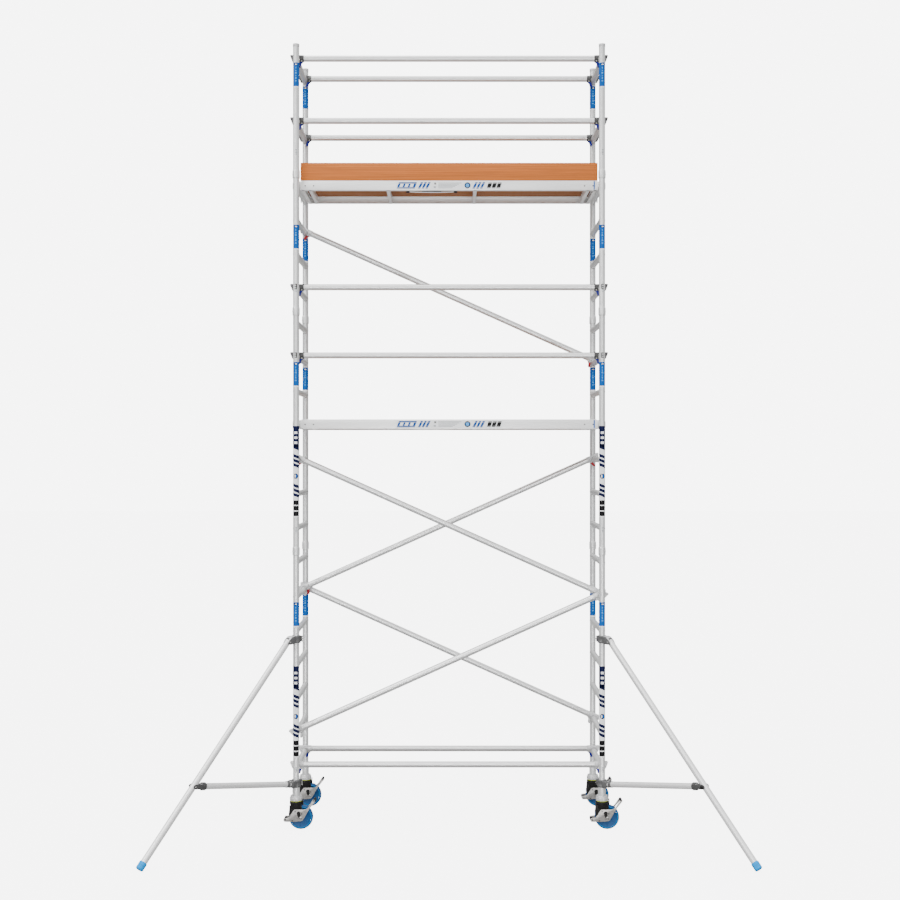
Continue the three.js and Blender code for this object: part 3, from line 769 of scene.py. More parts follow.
def platform_frame(level, width, half_length):
    """The two beams, the cross and end members, the hooks and the rivets."""
    shape = Shape()
    node = f"{level}_platform_frame"
    place = at(0, CENTRE_Y, rung_level(PLATFORM_RUNGS[level]) + PLATFORM_RISE)
    outer = -width / 2
    inner = outer + BEAM_WIDTH
    bottom = -BEAM_HEIGHT
    ledge = -BOARD_DROP - BOARD_THICKNESS - BOARD_GAP
    section = [
        (outer, bottom),
        (inner, bottom),
        (inner, bottom + BEAM_SHEET),
        (outer + BEAM_SHEET, bottom + BEAM_SHEET),
        (outer + BEAM_SHEET, ledge - BEAM_SHEET),
        (inner, ledge - BEAM_SHEET),
        (inner, ledge),
        (outer + BEAM_LIP, ledge),
        (outer + BEAM_LIP, 0),
        (outer, 0),
    ]
    channel = [
        (half_length - END_MEMBER, bottom),
        (half_length, bottom),
        (half_length, ledge),
        (half_length - END_LIP, ledge),
        (half_length - END_LIP, ledge - END_SHEET),
        (half_length - END_SHEET, ledge - END_SHEET),
        (half_length - END_SHEET, bottom + END_SHEET),
        (half_length - END_MEMBER, bottom + END_SHEET),
    ]
    groove = half_length - GROOVE_INSET
    for here in (place, place @ rotate("Z", 180)):
        shape.prism(section, 2 * half_length, ALU_DECK, here @ ALONG_X, 0.0008)
        for z in GROOVES:
            shape.rod((-groove, outer, z), (groove, outer, z), 0.0011, ALU_DECK, here, 8)
        for x in RIVETS:
            head = here @ at(x, outer + 0.0004, RIVET_HEIGHT) @ rotate("X", 90)
            shape.turned(RIVET_PROFILE, CAST, head, 14)
        for x in (LEFT, RIGHT):
            hook = here @ at(x, outer + 0.015, -PLATFORM_RISE) @ rotate("Z", 0 if x < 0 else 180)
            shape.prism(platform_hook(), 0.028, ALU_DECK, hook, bevel=0.002)
        shape.prism(channel, width - 0.006, ALU_DECK, here, bevel=0.0006)
    for x in (-OUTER_CROSS, *HATCH_ENDS, OUTER_CROSS):
        low = (x - CROSS_WIDTH / 2, outer + 0.003, bottom)
        shape.block(low, (x + CROSS_WIDTH / 2, -outer - 0.003, ledge), ALU_DECK, place, 0.0015)
    shape.piece(f"{node}_beams", "tower", "platform_frame", node)


def hinge_leaf(shape, x, y0, y1, top):
    """One leaf of a hinge, let into a board."""
    low = (x - HINGE_HALF, y0, top - 0.0004)
    shape.block(low, (x + HINGE_HALF, y1, top + 0.0014), ZINC, bevel=0.0004)


def platform_board(level):
    """Plywood around the hatch opening, as four boards glued into one sheet."""
    shape = Shape()
    node = f"{level}_platform_board"
    low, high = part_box(node)
    x0 = HATCH_ENDS[0] + CROSS_WIDTH / 2 - HATCH_REST
    x1 = HATCH_ENDS[1] - CROSS_WIDTH / 2 + HATCH_REST
    front = CENTRE_Y - HATCH_HALF
    back = CENTRE_Y + HATCH_HALF
    for start, stop in ((low.x, x0), (x1, high.x)):
        shape.block((start, low.y, low.z), (stop, high.y, high.z), PLY, bevel=0.0006)
    for start, stop in ((low.y, front), (back, high.y)):
        corner = (x1 + 0.001, stop, high.z - 0.0001)
        shape.block((x0 - 0.001, start, low.z + 0.0001), corner, PLY)
    for x in (x0 + HINGE_INSET, x1 - HINGE_INSET):
        hinge_leaf(shape, x, back + 0.003, back + 0.026, high.z)
    shape.piece(f"{node}_sheet", "tower", "platform_board", node)


def platform_hatch(level):
    """The lid with its hinges and its bowed grab strap, with a black bow over the strap's middle that paints
    the shadow of its recess.
    """
    shape = Shape()
    node = f"{level}_platform_hatch"
    low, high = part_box(node)
    lid_low = high.z - BOARD_THICKNESS
    shape.block((low.x, low.y, lid_low), high, PLY, bevel=0.0012)
    pivot = (CENTRE_Y + HATCH_HALF - 0.0015, high.z + 0.002)
    inset = HINGE_INSET + 0.003
    for x in (low.x + inset, high.x - inset):
        hinge_leaf(shape, x, high.y - 0.028, high.y + 0.001, high.z)
        ends = ((x - HINGE_HALF, *pivot), (x + HINGE_HALF, *pivot))
        shape.rod(*ends, 0.0034, ZINC, sides=12, ease=0.0006)
        for dx in (-0.018, 0.018):
            screw = at(x + dx, high.y - 0.015, high.z + 0.0012)
            shape.turned(HINGE_SCREW, STEEL, screw, 10)
    centre = (low.x + high.x) / 2
    y = CENTRE_Y - HATCH_HALF + 0.024
    strap = []
    for i in range(STRAP_STEPS + 1):
        part = i / STRAP_STEPS * 2 - 1
        strap.append((centre + STRAP_HALF * part, y, low.z + 0.004 + 0.006 * part**2))
    shape.sweep(strap, 0.0065, ALU_DECK, sides=12, flat=0.6)
    # The black bow just above the strap's middle is a painted shadow in the recess between strap and lid.
    grip = [(px, py, pz + 0.007) for px, py, pz in strap[7:18]]
    shape.sweep(grip, 0.0045, BLACK_PLASTIC, sides=12)
    for x in (centre - STRAP_HALF - 0.007, centre + STRAP_HALF + 0.007):
        foot = (x - 0.014, y - 0.009, low.z)
        shape.block(foot, (x + 0.014, y + 0.009, low.z + 0.02), BLACK_PLASTIC, bevel=0.003)
        shape.rod((x, y, low.z + 0.012), (x, y, lid_low + 0.002), 0.0055, STEEL, sides=12)
        washer = (x - 0.018, y - 0.014, lid_low - 0.003)
        shape.block(washer, (x + 0.018, y + 0.014, lid_low + 0.0006), ZINC, bevel=0.001)
    shape.piece(f"{node}_lid", f"{level}_hatch", "platform_hatch", node)


def beam_stickers(level, width):
    """The group of plain stickers on the front beam."""
    shape = Shape()
    face = CENTRE_Y - width / 2
    low = rung_level(PLATFORM_RUNGS[level]) + PLATFORM_RISE - BEAM_HEIGHT + 0.013
    high = low + 0.052

    def sticker(x0, x1, z0, z1, lean, finish, lift=0.0008):
        outline = [(x0, z0), (x1, z0), (x1 + lean, z1), (x0 + lean, z1)]
        shape.prism(outline, lift * 2, finish, at(0, face, 0))

    sticker(-0.435, 0.44, low - 0.004, high + 0.004, 0, LABEL_WHITE, 0.0005)
    sticker(-0.431, -0.283, low, high, 0.02, LABEL_DEEP)
    for bar in range(3):
        x = -0.408 + bar * 0.042
        sticker(x, x + 0.026, low + 0.013, high - 0.013, 0.01, LABEL_WHITE, 0.001)
        for group in (-0.257, 0.191):
            x = group + bar * 0.0305
            sticker(x, x + 0.02, low, high, 0.025, LABEL_DEEP)
        x = 0.309 + bar * 0.039
        sticker(x, x + 0.032, low + 0.003, high - 0.003, 0.014, LABEL_BLACK)
    sticker(-0.127, -0.108, low + 0.004, low + 0.018, 0, LABEL_GREY)
    sticker(-0.122, -0.106, high - 0.018, high - 0.004, 0, LABEL_BLACK)
    for line in range(5):
        z = low + 0.004 + line * 0.0098
        sticker(-0.088, 0.03 + 0.018 * line, z, z + 0.0042, 0, LABEL_GREY)
    badge = at(0.151, face - 0.0002, (low + high) / 2) @ rotate("X", 90)
    for radius, lift, finish in ((0.025, 0.0008, LABEL_NAVY), (0.015, 0.0012, LABEL_PALE)):
        shape.turned([(radius, -0.001), (radius, lift)], finish, badge, 32)
    sticker(1.187, 1.197, low - 0.008, high + 0.008, 0, LABEL_BLUE)
    shape.piece(f"{level}_platform_stickers", "tower", "platform_frame")


def build_platforms():
    width = DECK_HIGH.y - DECK_LOW.y
    board_low, board_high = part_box("upper_platform_board")
    half_length = (board_high.x - board_low.x) / 2 + 0.012
    for level in PLATFORM_RUNGS:
        platform_frame(level, width, half_length)
        platform_board(level)
        platform_hatch(level)
        beam_stickers(level, width)


TOE_SCREW = in_mm([(6, 0), (5, 1.5), (1, 2.4)])
TOE_PLATE = 0.003


def build_toe_boards():
    """Four planks; the long ones have a screwed plate at each corner of their inner faces."""
    for name in ("front", "back", "left", "right"):
        node = f"toe_board_{name}"
        low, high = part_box(node)
        shape = Shape()
        shape.block(low, high, TOE_WOOD, bevel=0.0022)
        if name in SIDES:
            inward = 1 if name == "front" else -1
            face = high.y if name == "front" else low.y
            y0, y1 = sorted((face - inward * 0.0005, face + inward * TOE_PLATE))
            for x in (low.x + 0.045, high.x - 0.045):
                for z in (low.z + 0.02, high.z - 0.05):
                    shape.block((x - 0.018, y0, z), (x + 0.018, y1, z + 0.03), ZINC, bevel=0.0008)
                    screw = at(x, face + inward * TOE_PLATE, z + 0.015) @ rotate("X", -inward * 90)
                    shape.turned(TOE_SCREW, STEEL, screw, 12)
        shape.piece(f"{node}_plank", "tower", "toe_board", node)


# ------------------------------------------------------------------ castors
STEM_RADIUS = 0.019
THREAD_PITCH = 0.008
THREAD_STEPS = 5
THREAD_SIDES = 20
PLATE_PROFILE = in_mm([(44, 0), (47, 0.8), (47, 4.5), (45, 5.7)])
SEAL_PROFILE = in_mm([(47.8, 1), (48.8, 2), (48.8, 4.2), (47.8, 5.2)])
TIP_PROFILE = in_mm([(15.8, -1), (15.8, 8), (12, 11.5)])


def castor_stem(corner, x, y):
    """The threaded spindle on its swivel plate, with the lime seal."""
    shape = Shape()
    node = f"castor_stem_{corner}"
    low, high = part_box(node)
    shape.turned(PLATE_PROFILE, ZINC, at(x, y, low.z))
    shape.turned(SEAL_PROFILE, LIME, at(x, y, low.z), 40)
    rings = []
    start = low.z + 0.005
    for step in range(int((high.z - start - 0.012) / THREAD_PITCH * THREAD_STEPS)):
        turns = step / THREAD_STEPS
        ring = []
        for i in range(THREAD_SIDES):
            part = i / THREAD_SIDES
            ridge = max(0.0, 1 - abs((turns - part) % 1.0 - 0.5) * 2.6)
            dx, dy = polar(STEM_RADIUS - 0.0028 + 0.0026 * ridge, math.tau * part)
            ring.append((x + dx, y + dy, start + turns * THREAD_PITCH))
        rings.append(ring)
    shape.loft(rings, ZINC)
    shape.turned(TIP_PROFILE, ZINC, at(x, y, rings[-1][0][2]), 24)
    shape.piece(f"{node}_spindle", f"stem_{corner}", "castor_stem", node)


NUT_SIDES = 96
GRIPS = 8
GRIP_DEPTH = 3.6 * MM


def castor_nut(corner, x, y):
    """The adjusting nut, with eight shallow finger grips round its wider half."""
    shape = Shape()
    node = f"castor_nut_{corner}"
    low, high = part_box(node)
    height = high.z - low.z
    bore = STEM_RADIUS + 0.0012
    profile = [
        (bore, 0.001),
        (bore + 0.001, 0),
        (0.0495, 0),
        (0.052, 0.0025),
        (0.052, height * 0.55),
        (0.0508, height * 0.62),
        (0.0475, height * 0.68),
        (0.0465, height - 0.003),
        (0.044, height),
        (bore + 0.001, height),
        (bore, height - 0.001),
    ]
    rings = []
    for radius, z in profile:
        ring = []
        for i in range(NUT_SIDES):
            angle = math.tau * i / NUT_SIDES
            grip = GRIP_DEPTH * max(0.0, math.cos(GRIPS * angle)) ** 3 if radius > 0.048 else 0
            dx, dy = polar(radius - grip, angle)
            ring.append((x + dx, y + dy, low.z + z))
        rings.append(ring)
    shape.loft(rings, NUT, loop=True)
    shape.piece(f"{node}_grip", f"nut_{corner}", "castor_nut", node)


HOUSING_PROFILE = in_mm(
    [(30, -24), (51.5, -24), (53, -22), (53, -12), (51.5, -10.5)]
    + [(51.5, -8.5), (53, -7), (53, -2.5), (51, 0), (30, 0)]
)
LEG_OUTLINE = in_mm(
    [(-52, 200), (-53, 172), (-58, 128), (-56, 106), (-22, 90), (14, 80), (36, 75), (52, 77)]
    + [(63, 90), (64, 106), (54, 140), (50, 172), (50, 200)]
)
LEG_RIB = in_mm(
    [(-44, 196), (-40, 150), (0, 112), (30, 104), (34, 112), (8, 130), (-22, 160), (-26, 196)]
)
TAB_OUTLINE = in_mm(
    [(44, 208), (53.5, 208), (53.5, 244), (56, 247), (60, 247), (60, 190), (54, 176), (48, 176)]
)
LEG_GAP = 0.028
LEG_THICKNESS = 0.006
# The skirt's rings: how far each is below the top, and how far it is drawn in.
SKIRT = ((0.022, 1.0), (0.046, 0.99), (0.054, 0.92), (0.0585, 0.7))
AXLE_NUT = in_mm([(11.5, 0), (11.5, 7), (9.5, 8)])
PIVOT_HEAD = in_mm([(7.5, 0), (7.5, 2), (6, 3.5), (2, 4)])
PIVOT_X = 0.018
PIVOT_Z = 0.135


def castor_fork(corner, x, y):
    """The black swivel housing, its two legs, the ball race, the axle and the brake's studs."""
    shape = Shape()
    node = f"castor_fork_{corner}"
    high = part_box(node)[1].z
    axle = middle(f"castor_wheel_{corner}")
    shape.turned(HOUSING_PROFILE, BLACK, at(x, y, high), 48)
    brim = [polar(0.052, math.radians(angle)) for angle in range(32, 149, 9)]
    for side in (-1, 1):
        leg = at(x, y + side * (LEG_GAP + LEG_THICKNESS / 2), 0)
        shape.prism(LEG_OUTLINE, LEG_THICKNESS, BLACK, leg, bevel=0.0018)
        shape.prism(LEG_RIB, LEG_THICKNESS + 0.003, BLACK, leg, bevel=0.0014)
        # The housing's skirt closes in over the leg.
        rings = []
        for depth, pull in SKIRT:
            ring = [(x + px, y + side * max(0.034, py * pull), high - depth) for px, py in brim]
            ring += [(x + px * 0.96, y + side * 0.0338 * 0.96, high - depth) for px, py in reversed(brim)]
            rings.append(ring)
        shape.loft(rings, BLACK)
        flat = rotate("X", -side * 90)
        nut = at(axle.x, y + side * (LEG_GAP + LEG_THICKNESS), axle.z) @ flat
        shape.turned(AXLE_NUT, STEEL, nut, 6)
        start = (x + PIVOT_X, y + side * LEG_GAP, PIVOT_Z)
        end = (x + PIVOT_X, y + side * 0.0425, PIVOT_Z)
        shape.rod(start, end, 0.0058, STEEL, sides=18, ease=0.0006)
        head = at(x + PIVOT_X, y + side * 0.0412, PIVOT_Z) @ flat
        shape.turned(PIVOT_HEAD, BLACK_PLASTIC, head, 20)
    shape.pin(0, LEG_GAP, 0, 0.0075, STEEL, at(axle.x, y, axle.z), 20)
    shape.prism(TAB_OUTLINE, 0.024, BLACK, at(x, y, 0), bevel=0.0015)
    shape.piece(f"{node}_housing", f"fork_{corner}", "castor_fork", node)


WHEEL_HALF = 23 * MM
RIM_LIP = in_mm([(82.5, -6), (83, 0.2), (84.2, 1.4), (85.6, 1.4), (87.5, -0.4), (87.5, -6)])
WEB = in_mm([(9.5, -25), (21, -25), (24.5, -21), (28, -18), (75, -18), (81.5, -22)])
BEARING_CAP = in_mm([(9.5, 0), (17.5, 0), (17.5, 0.8), (16.5, 1.8), (9.5, 1.8)])
RIBS = 6


def castor_wheel(corner):
    """A moulded tyre on a ribbed rim with its bearing caps."""
    shape = Shape()
    node = f"castor_wheel_{corner}"
    place = at(*middle(node)) @ rotate("X", 90)
    edge = math.sin(math.radians(70))
    tyre = [(0.083, -WHEEL_HALF + 0.004), (0.0835, -WHEEL_HALF)]
    for i in range(15):
        bulge, rise = polar(1, math.radians(-70 + 10 * i))
        tyre.append((0.094 + 0.006 * bulge, WHEEL_HALF * rise / edge))
    tyre += [(0.0835, WHEEL_HALF), (0.083, WHEEL_HALF - 0.004)]
    shape.turned(tyre, TYRE, place, 80, loop=True)
    shape.turned(mirrored(WEB), TYRE, place, 72, loop=True)
    for side in (-1, 1):
        lip = [(radius, side * (WHEEL_HALF + rise)) for radius, rise in RIM_LIP]
        # The lip takes the paler blue: a painted highlight on the wheel's one blue plastic.
        shape.turned(lip, RIM_HIGHLIGHT, place, 80, loop=True)
        for i in range(RIBS):
            z0, z1 = sorted((side * (WHEEL_HALF - 0.0055), side * (WHEEL_HALF - 0.003)))
            turned = place @ rotate("Z", i * 360 / RIBS + 30)
            shape.block((0.03, -0.0022, z0), (0.074, 0.0022, z1), TYRE, turned, 0.0009)
        outward = at(0, 0, side * (WHEEL_HALF + 0.0015)) @ rotate("X", 0 if side > 0 else 180)
        shape.turned(BEARING_CAP, STEEL, place @ outward, 32, loop=True)
    shape.piece(f"{node}_tyre", f"wheel_{corner}", "castor_wheel", node)


COMMA = arc((0.025, 0.137), 0.0155, -20, 215, 12) + in_mm(
    [(13, 119), (20, 104), (33, 93), (54, 87), (47, 98), (42, 110), (41, 124)]
)
BRAKE_OUTLINE = in_mm(
    [(-92, 67), (-70, 66), (-20, 67), (14, 69), (44, 72), (57, 78), (64, 88), (72, 100), (98, 148)]
    + [(120, 182), (140, 206), (160, 230), (158, 240), (146, 244), (136, 232), (118, 204), (106, 188)]
    + [(92, 174), (80, 168), (0, 168), (-10, 166), (-18, 160), (-38, 128), (-52, 108), (-60, 101)]
    + [(-78, 98), (-95, 96), (-100, 84)]
)
LEVER_BOLTS = in_mm([(50, 132), (-27, 76), (-5, 150)])
LEVER_BOLT = in_mm([(5, -0.5), (5, 1.2), (2, 2)])
LEVER_RIB = in_mm([(60, 108), (66, 106), (126, 202), (121, 205)])
LEVER_THICKNESS = 0.004
# Each roller's place along the lever, its height and its radius.
ROLLERS = ((-0.088, 0.081, 0.0115), (0.152, 0.237, 0.0105))


def castor_brake(corner, x, y):
    """Two galvanised side plates joined by a ribbed roller at each end."""
    shape = Shape()
    node = f"castor_brake_{corner}"
    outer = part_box(node)[1].y - y
    half = LEVER_THICKNESS / 2
    for side in (-1, 1):
        place = at(x, y + side * (outer - half), 0)
        shape.prism(BRAKE_OUTLINE, LEVER_THICKNESS, ZINC, place, bevel=0.0011)
        shape.prism(COMMA, LEVER_THICKNESS + 0.0009, BLACK_PLASTIC, place)
        # The black bead swept along an arc on each plate is painted shade: the shadow line under an embossed
        # lip.
        groove = [(px, side * half, pz) for px, pz in arc((0.03, 0.118), 0.029, 235, 305, 8)]
        shape.sweep(groove, 0.0012, BLACK_PLASTIC, place, 6)
        for bx, bz in LEVER_BOLTS:
            bolt = place @ at(bx, side * half, bz) @ rotate("X", -side * 90)
            shape.turned(LEVER_BOLT, BLACK_PLASTIC, bolt, 16)
        shape.prism(LEVER_RIB, LEVER_THICKNESS + 0.0016, ZINC, place, bevel=0.0006)
    for px, pz, radius in ROLLERS:
        place = at(x + px, y, pz)
        shape.pin(0, outer, 0, radius, BLACK_PLASTIC, place, 24, 0.0008)
        for side in (-1, 1):
            ends = ((0, side * (outer - 0.0114), 0), (0, side * (outer + 0.0006), 0))
            shape.rod(*ends, radius - 0.005, ZINC, place, 20)
        for line in range(5):
            ridge = place @ at(0, -0.02 + line * 0.01, 0)
            shape.pin(0, 0.0012, 0, radius + 0.0008, BLACK_PLASTIC, ridge, 24)
    shape.piece(f"{node}_lever", f"brake_{corner}", "castor_brake", node)


def build_castors():
    for side, y in SIDES.items():
        for end, x in ENDS.items():
            corner = f"{side}_{end}"
            castor_stem(corner, x, y)
            castor_nut(corner, x, y)
            castor_fork(corner, x, y)
            castor_wheel(corner)
            castor_brake(corner, x, y)


# ------------------------------------------------------------------ outriggers
OUTRIGGER_RADIUS = 0.025
PIN_OUT = 0.09
PIN_Z = 1.535
FOOT_OUT = 1.52
ARM_JOINT_OUT = 1.03
FOOT_RADIUS = 0.031
CLAMP_HEIGHT = 0.06
OUTRIGGER_AZIMUTH = {"left": 180 + 47.8, "right": -47.8}
CLAMP_RING = in_mm([(25.8, -28), (27.5, -30), (35, -30), (38, -26), (38, -18), (35.5, -14)])
CLAMP_NOSE = in_mm([(14, 27), (34, 29), (58, 23), (58, -26), (34, -29), (14, -28)])
CLAMP_RIB = in_mm([(26, 20), (56, 15), (56, 9), (26, 12)])
WING_NUT = in_mm([(8, 0), (8, 8), (6, 11), (2, 12)])
BOLT_X = -0.046


def clamp(shape, place, z):
    """A hinged clamp about a standard: its ring, ears with a wing nut behind, and its ribbed nose."""
    place = place @ at(0, 0, z)
    half = CLAMP_HEIGHT / 2
    shape.turned(mirrored(CLAMP_RING), CLAMP_CAST, place, 40, loop=True)
    for side in (-1, 1):
        y0, y1 = sorted((side * 0.004, side * 0.011))
        ear = (-0.056, y0, -half + 0.006)
        shape.block(ear, (-0.028, y1, half - 0.006), CLAMP_CAST, place, 0.002)
        shape.prism(CLAMP_NOSE, 0.017, CLAMP_CAST, place @ at(0.012, side * 0.0265, 0), 0.004)
        for drop in (0, 0.018):
            rib = place @ at(0.01, side * 0.0355, -drop)
            shape.prism(CLAMP_RIB, 0.003, CLAMP_CAST, rib, 0.001)
        wing = (BOLT_X, 0.024, side * 0.024)
        shape.rod((BOLT_X, 0.016, 0), wing, 0.0036, STEEL, place, 10, 0.0008)
    bridge = (0.032, -0.03, -half + 0.005)
    shape.block(bridge, (0.05, 0.03, half - 0.005), CLAMP_CAST, place, 0.003)
    shape.rod((BOLT_X, -0.026, 0), (BOLT_X, 0.024, 0), 0.0045, STEEL, place, 12)
    shape.turned(WING_NUT, STEEL, place @ at(BOLT_X, 0.011, 0) @ rotate("X", -90), 18)


CHEEK = in_mm(
    [(24, 27), (52, 25), (78, 15), (98, -2), (110, -20), (108, -32), (84, -36), (24, -29)]
)
CHEEK_Y = OUTRIGGER_RADIUS + 0.0045
STRAP = in_mm(
    [(36, 25), (54, 22), (78, 13), (98, -4), (109, -20), (113, -19), (101, 0), (80, 18)]
    + [(55, 27), (36, 30)]
)
ARM_EAR = in_mm(
    [(-104, -18), (0, -18), (11, -14), (17, -6), (17, 6), (11, 14), (0, 18), (-104, 18)]
)
KNOB = in_mm([(12.5, 0), (13.5, 2), (13.5, 9), (11, 12), (3, 13)])
FOOT_PROFILE = in_mm(
    [(4, 0.8), (16, 0.4), (23.5, 1.8), (28.5, 6), (30.5, 12), (30.5, 18), (29.6, 19.5)]
    + [(29.6, 21.5), (30.5, 23), (30.5, 28.5), (29.6, 30), (29.6, 32), (30.5, 33.5)]
    + [(30.2, 56), (29.2, 60.5), (27.5, 62), (25.3, 61)]
)


def outrigger(end):
    """A front standard's outrigger: upper clamp, strut, arm with its lower clamp, and rubber foot."""
    place = at(ENDS[end], FRONT, 0) @ rotate("Z", OUTRIGGER_AZIMUTH[end])
    body = f"outrigger_{end}"
    upper_z = middle(f"outrigger_clamp_{end}").z
    lower_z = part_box(f"outrigger_arm_{end}")[0].z + CLAMP_HEIGHT / 2
    foot_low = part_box(f"outrigger_foot_{end}")[0].z
    slope = math.atan2(PIN_Z, FOOT_OUT - PIN_OUT)
    foot_z = (FOOT_RADIUS - 0.005) * math.cos(slope) + foot_low

    def on_strut(out):
        """The point of the strut's axis that is so far out from the standard's."""
        return Vector((out, 0, PIN_Z - (PIN_Z - foot_z) / (FOOT_OUT - PIN_OUT) * (out - PIN_OUT)))

    upper = Shape()
    clamp(upper, place, upper_z)
    casting = place @ at(0, 0, upper_z)
    for side in (-1, 1):
        upper.prism(CHEEK, 0.0065, CLAMP_CAST, casting @ at(0, side * CHEEK_Y, 0), bevel=0.002)
    upper.prism(STRAP, CHEEK_Y * 2, CAST_LIGHT, casting, bevel=0.0015)
    upper.pin(PIN_OUT, 0.038, PIN_Z, 0.007, STEEL, place, 18, 0.001)
    upper.piece(f"outrigger_clamp_{end}_casting", body, "outrigger_clamp", f"outrigger_clamp_{end}")

    strut = Shape()
    head = on_strut(PIN_OUT - 0.016)
    tail = on_strut(FOOT_OUT - 0.022 * math.cos(slope))
    down = (tail - head).normalized()
    strut.rod(head, tail, OUTRIGGER_RADIUS, ALU_STRUT, place, TUBE_SIDES, 0.0012)
    sleeve = (head - down * 0.002, head + down * 0.012)
    strut.rod(*sleeve, OUTRIGGER_RADIUS + 0.0012, CAST, place, 28, 0.001)
    strut.piece(f"outrigger_strut_{end}_tube", body, "outrigger_tube", f"outrigger_strut_{end}")

    arm = Shape()
    clamp(arm, place, lower_z)
    joint = on_strut(ARM_JOINT_OUT)
    root = Vector((0.06, 0, lower_z))
    along = (joint - root).normalized()
    knuckle = (0.026, -0.02, lower_z - 0.024)
    arm.block(knuckle, (0.086, 0.02, lower_z + 0.024), CLAMP_CAST, place, 0.006)
    arm.rod(root, joint - along * 0.072, OUTRIGGER_RADIUS - 0.001, ALU_STRUT, place, TUBE_SIDES)
    sleeve = (root + along * 0.022, root + along * 0.05)
    arm.rod(*sleeve, OUTRIGGER_RADIUS + 0.002, CLAMP_CAST, place, 28, 0.0012)
    collar = (joint - along * 0.108, joint - along * 0.074)
    arm.rod(*collar, OUTRIGGER_RADIUS + 0.006, CAST, place, 32, 0.002)
    tilt = place @ at(*joint) @ Matrix.Rotation(-math.atan2(along.z, along.x), 4, "Y")
    for side in (-1, 1):
        ear = tilt @ at(0, side * (OUTRIGGER_RADIUS + 0.0038), 0)
        arm.prism(ARM_EAR, 0.005, CAST, ear, bevel=0.0015)
    arm.pin(0, 0.036, 0, 0.0065, STEEL, tilt, 16, 0.001)
    knob = tilt @ at(0, -0.033, 0) @ rotate("X", 90)
    arm.turned(KNOB, BLACK_PLASTIC, knob, 24, lobes=6, dip=0.0015)
    arm.piece(f"outrigger_arm_{end}_tube", body, "outrigger_tube", f"outrigger_arm_{end}")

    foot = Shape()
    lean = place @ at(FOOT_OUT, 0, foot_z) @ Matrix.Rotation(slope - math.pi / 2, 4, "Y")
    foot.turned(FOOT_PROFILE, FOOT, lean, 40)
    foot.piece(f"outrigger_foot_{end}_cap", body, "outrigger_foot", f"outrigger_foot_{end}")


# ------------------------------------------------------------------ camera, light and floor
CAMERA_DISTANCE = 10.768
CAMERA_HEIGHT = 3.065
LENS = 52.70
SHIFT = (0.00102, 0.00411)
HORIZON = 0.2
ZENITH = 2.4
BACKDROP = 7.0
FLOOR_GLOW = 6.0
# Each area light's place, its two sides, its power in watts and the height that it aims at.
AREA_LIGHTS = {
    "key": ((-8, -8, 9), (5, 5), 400, 3),
    "front": ((0, -14, 7), (10, 5), 540, 3),
    "fill": ((0, -12, 0.6), (10, 1.2), 560, 4),
}
SUN_TILT = (14, -25)
SUN_SOFTNESS = 60
SUN_STRENGTH = 2.3
FLOOR_REACH = 60
FLOOR_GREY = 0.25
FLOOR_DROP = 0.5 * MM


def add_lamp(name, kind, energy):
    data = bpy.data.lights.new(name, kind)
    data.energy = energy
    return add_object(name, data)


def build_lights():
    """A wide soft sun from above and area lights from the front."""
    sun = add_lamp("overhead", "SUN", SUN_STRENGTH)
    sun.data.angle = math.radians(SUN_SOFTNESS)
    sun.rotation_euler = (math.radians(SUN_TILT[0]), math.radians(SUN_TILT[1]), 0)
    for name, (place, size, power, height) in AREA_LIGHTS.items():
        lamp = add_lamp(name, "AREA", power)
        lamp.data.shape = "RECTANGLE"
        lamp.data.size, lamp.data.size_y = size
        lamp.location = place
        aim = Vector((0, 0, height)) - Vector(place)
        lamp.rotation_euler = aim.to_track_quat("-Z", "Y").to_euler()


def build_camera():
    data = bpy.data.cameras.new("camera")
    data.lens = LENS
    data.sensor_width = 36
    data.shift_x, data.shift_y = SHIFT
    data.clip_end = 200
    camera = add_object("camera", data)
    camera.location = ((LEFT + RIGHT) / 2, FRONT - CAMERA_DISTANCE, CAMERA_HEIGHT)
    camera.rotation_euler = (math.pi / 2, 0, 0)
    bpy.context.scene.camera = camera


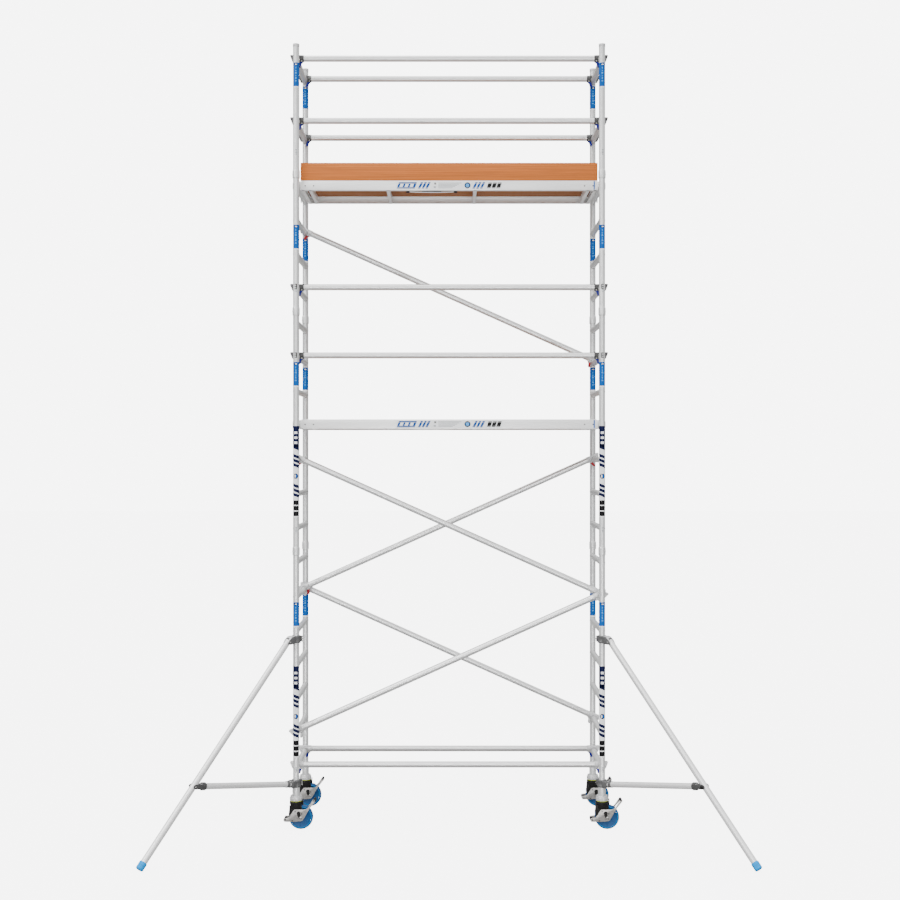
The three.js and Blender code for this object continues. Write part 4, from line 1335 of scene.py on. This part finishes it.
def build_world():
    """Light that grows from the horizon up, behind an even backdrop that only the camera sees."""
    world = bpy.data.worlds.new("studio")
    world.use_nodes = True
    tree = world.node_tree
    soft = set_inputs(tree.nodes["Background"], Color=WHITE)
    sky = node_of(tree, "TexCoord")
    height = node_of(tree, "SeparateXYZ")
    rise = node_of(tree, "MapRange", To_Min=HORIZON, To_Max=ZENITH)
    backdrop = node_of(tree, "Background", Color=WHITE, Strength=BACKDROP)
    path = node_of(tree, "LightPath")
    chosen = node_of(tree, "MixShader")
    join(tree, sky, "Generated", height, "Vector")
    join(tree, height, "Z", rise, "Value")
    join(tree, rise, "Result", soft, "Strength")
    join(tree, path, "Is Camera Ray", chosen, "Fac")
    join(tree, soft, "Background", chosen, 1)
    join(tree, backdrop, "Background", chosen, 2)
    join(tree, chosen, "Shader", tree.nodes["World Output"], "Surface")
    bpy.context.scene.world = world


def build_floor():
    """A pale floor that glows for the camera only, so that it meets the backdrop."""
    mesh = bpy.data.meshes.new("floor")
    signs = ((-1, -1), (1, -1), (1, 1), (-1, 1))
    corners = [(x * FLOOR_REACH, y * FLOOR_REACH, 0) for x, y in signs]
    mesh.from_pydata(corners, [], [(0, 1, 2, 3)])
    pale = material("pale_floor", (FLOOR_GREY,) * 3, 0.01, 0.7, grain=(2, 2, 2), bump=0.02, gloss=0.1)
    tree = pale.node_tree
    shader = tree.nodes["Principled BSDF"]
    glow = node_of(tree, "Emission", Strength=FLOOR_GLOW)
    lit = node_of(tree, "AddShader")
    path = node_of(tree, "LightPath")
    chosen = node_of(tree, "MixShader")
    join(tree, shader, "BSDF", lit, 0)
    join(tree, glow, "Emission", lit, 1)
    join(tree, path, "Is Camera Ray", chosen, "Fac")
    join(tree, shader, "BSDF", chosen, 1)
    join(tree, lit, "Shader", chosen, 2)
    join(tree, chosen, "Shader", tree.nodes["Material Output"], "Surface")
    mesh.materials.append(pale)
    floor = add_object("floor", mesh)
    floor.location.z = -FLOOR_DROP


build_camera()
build_world()
build_lights()
build_floor()
build_frames()
build_braces()
build_platforms()
build_toe_boards()
build_castors()
for end_name in ENDS:
    outrigger(end_name)
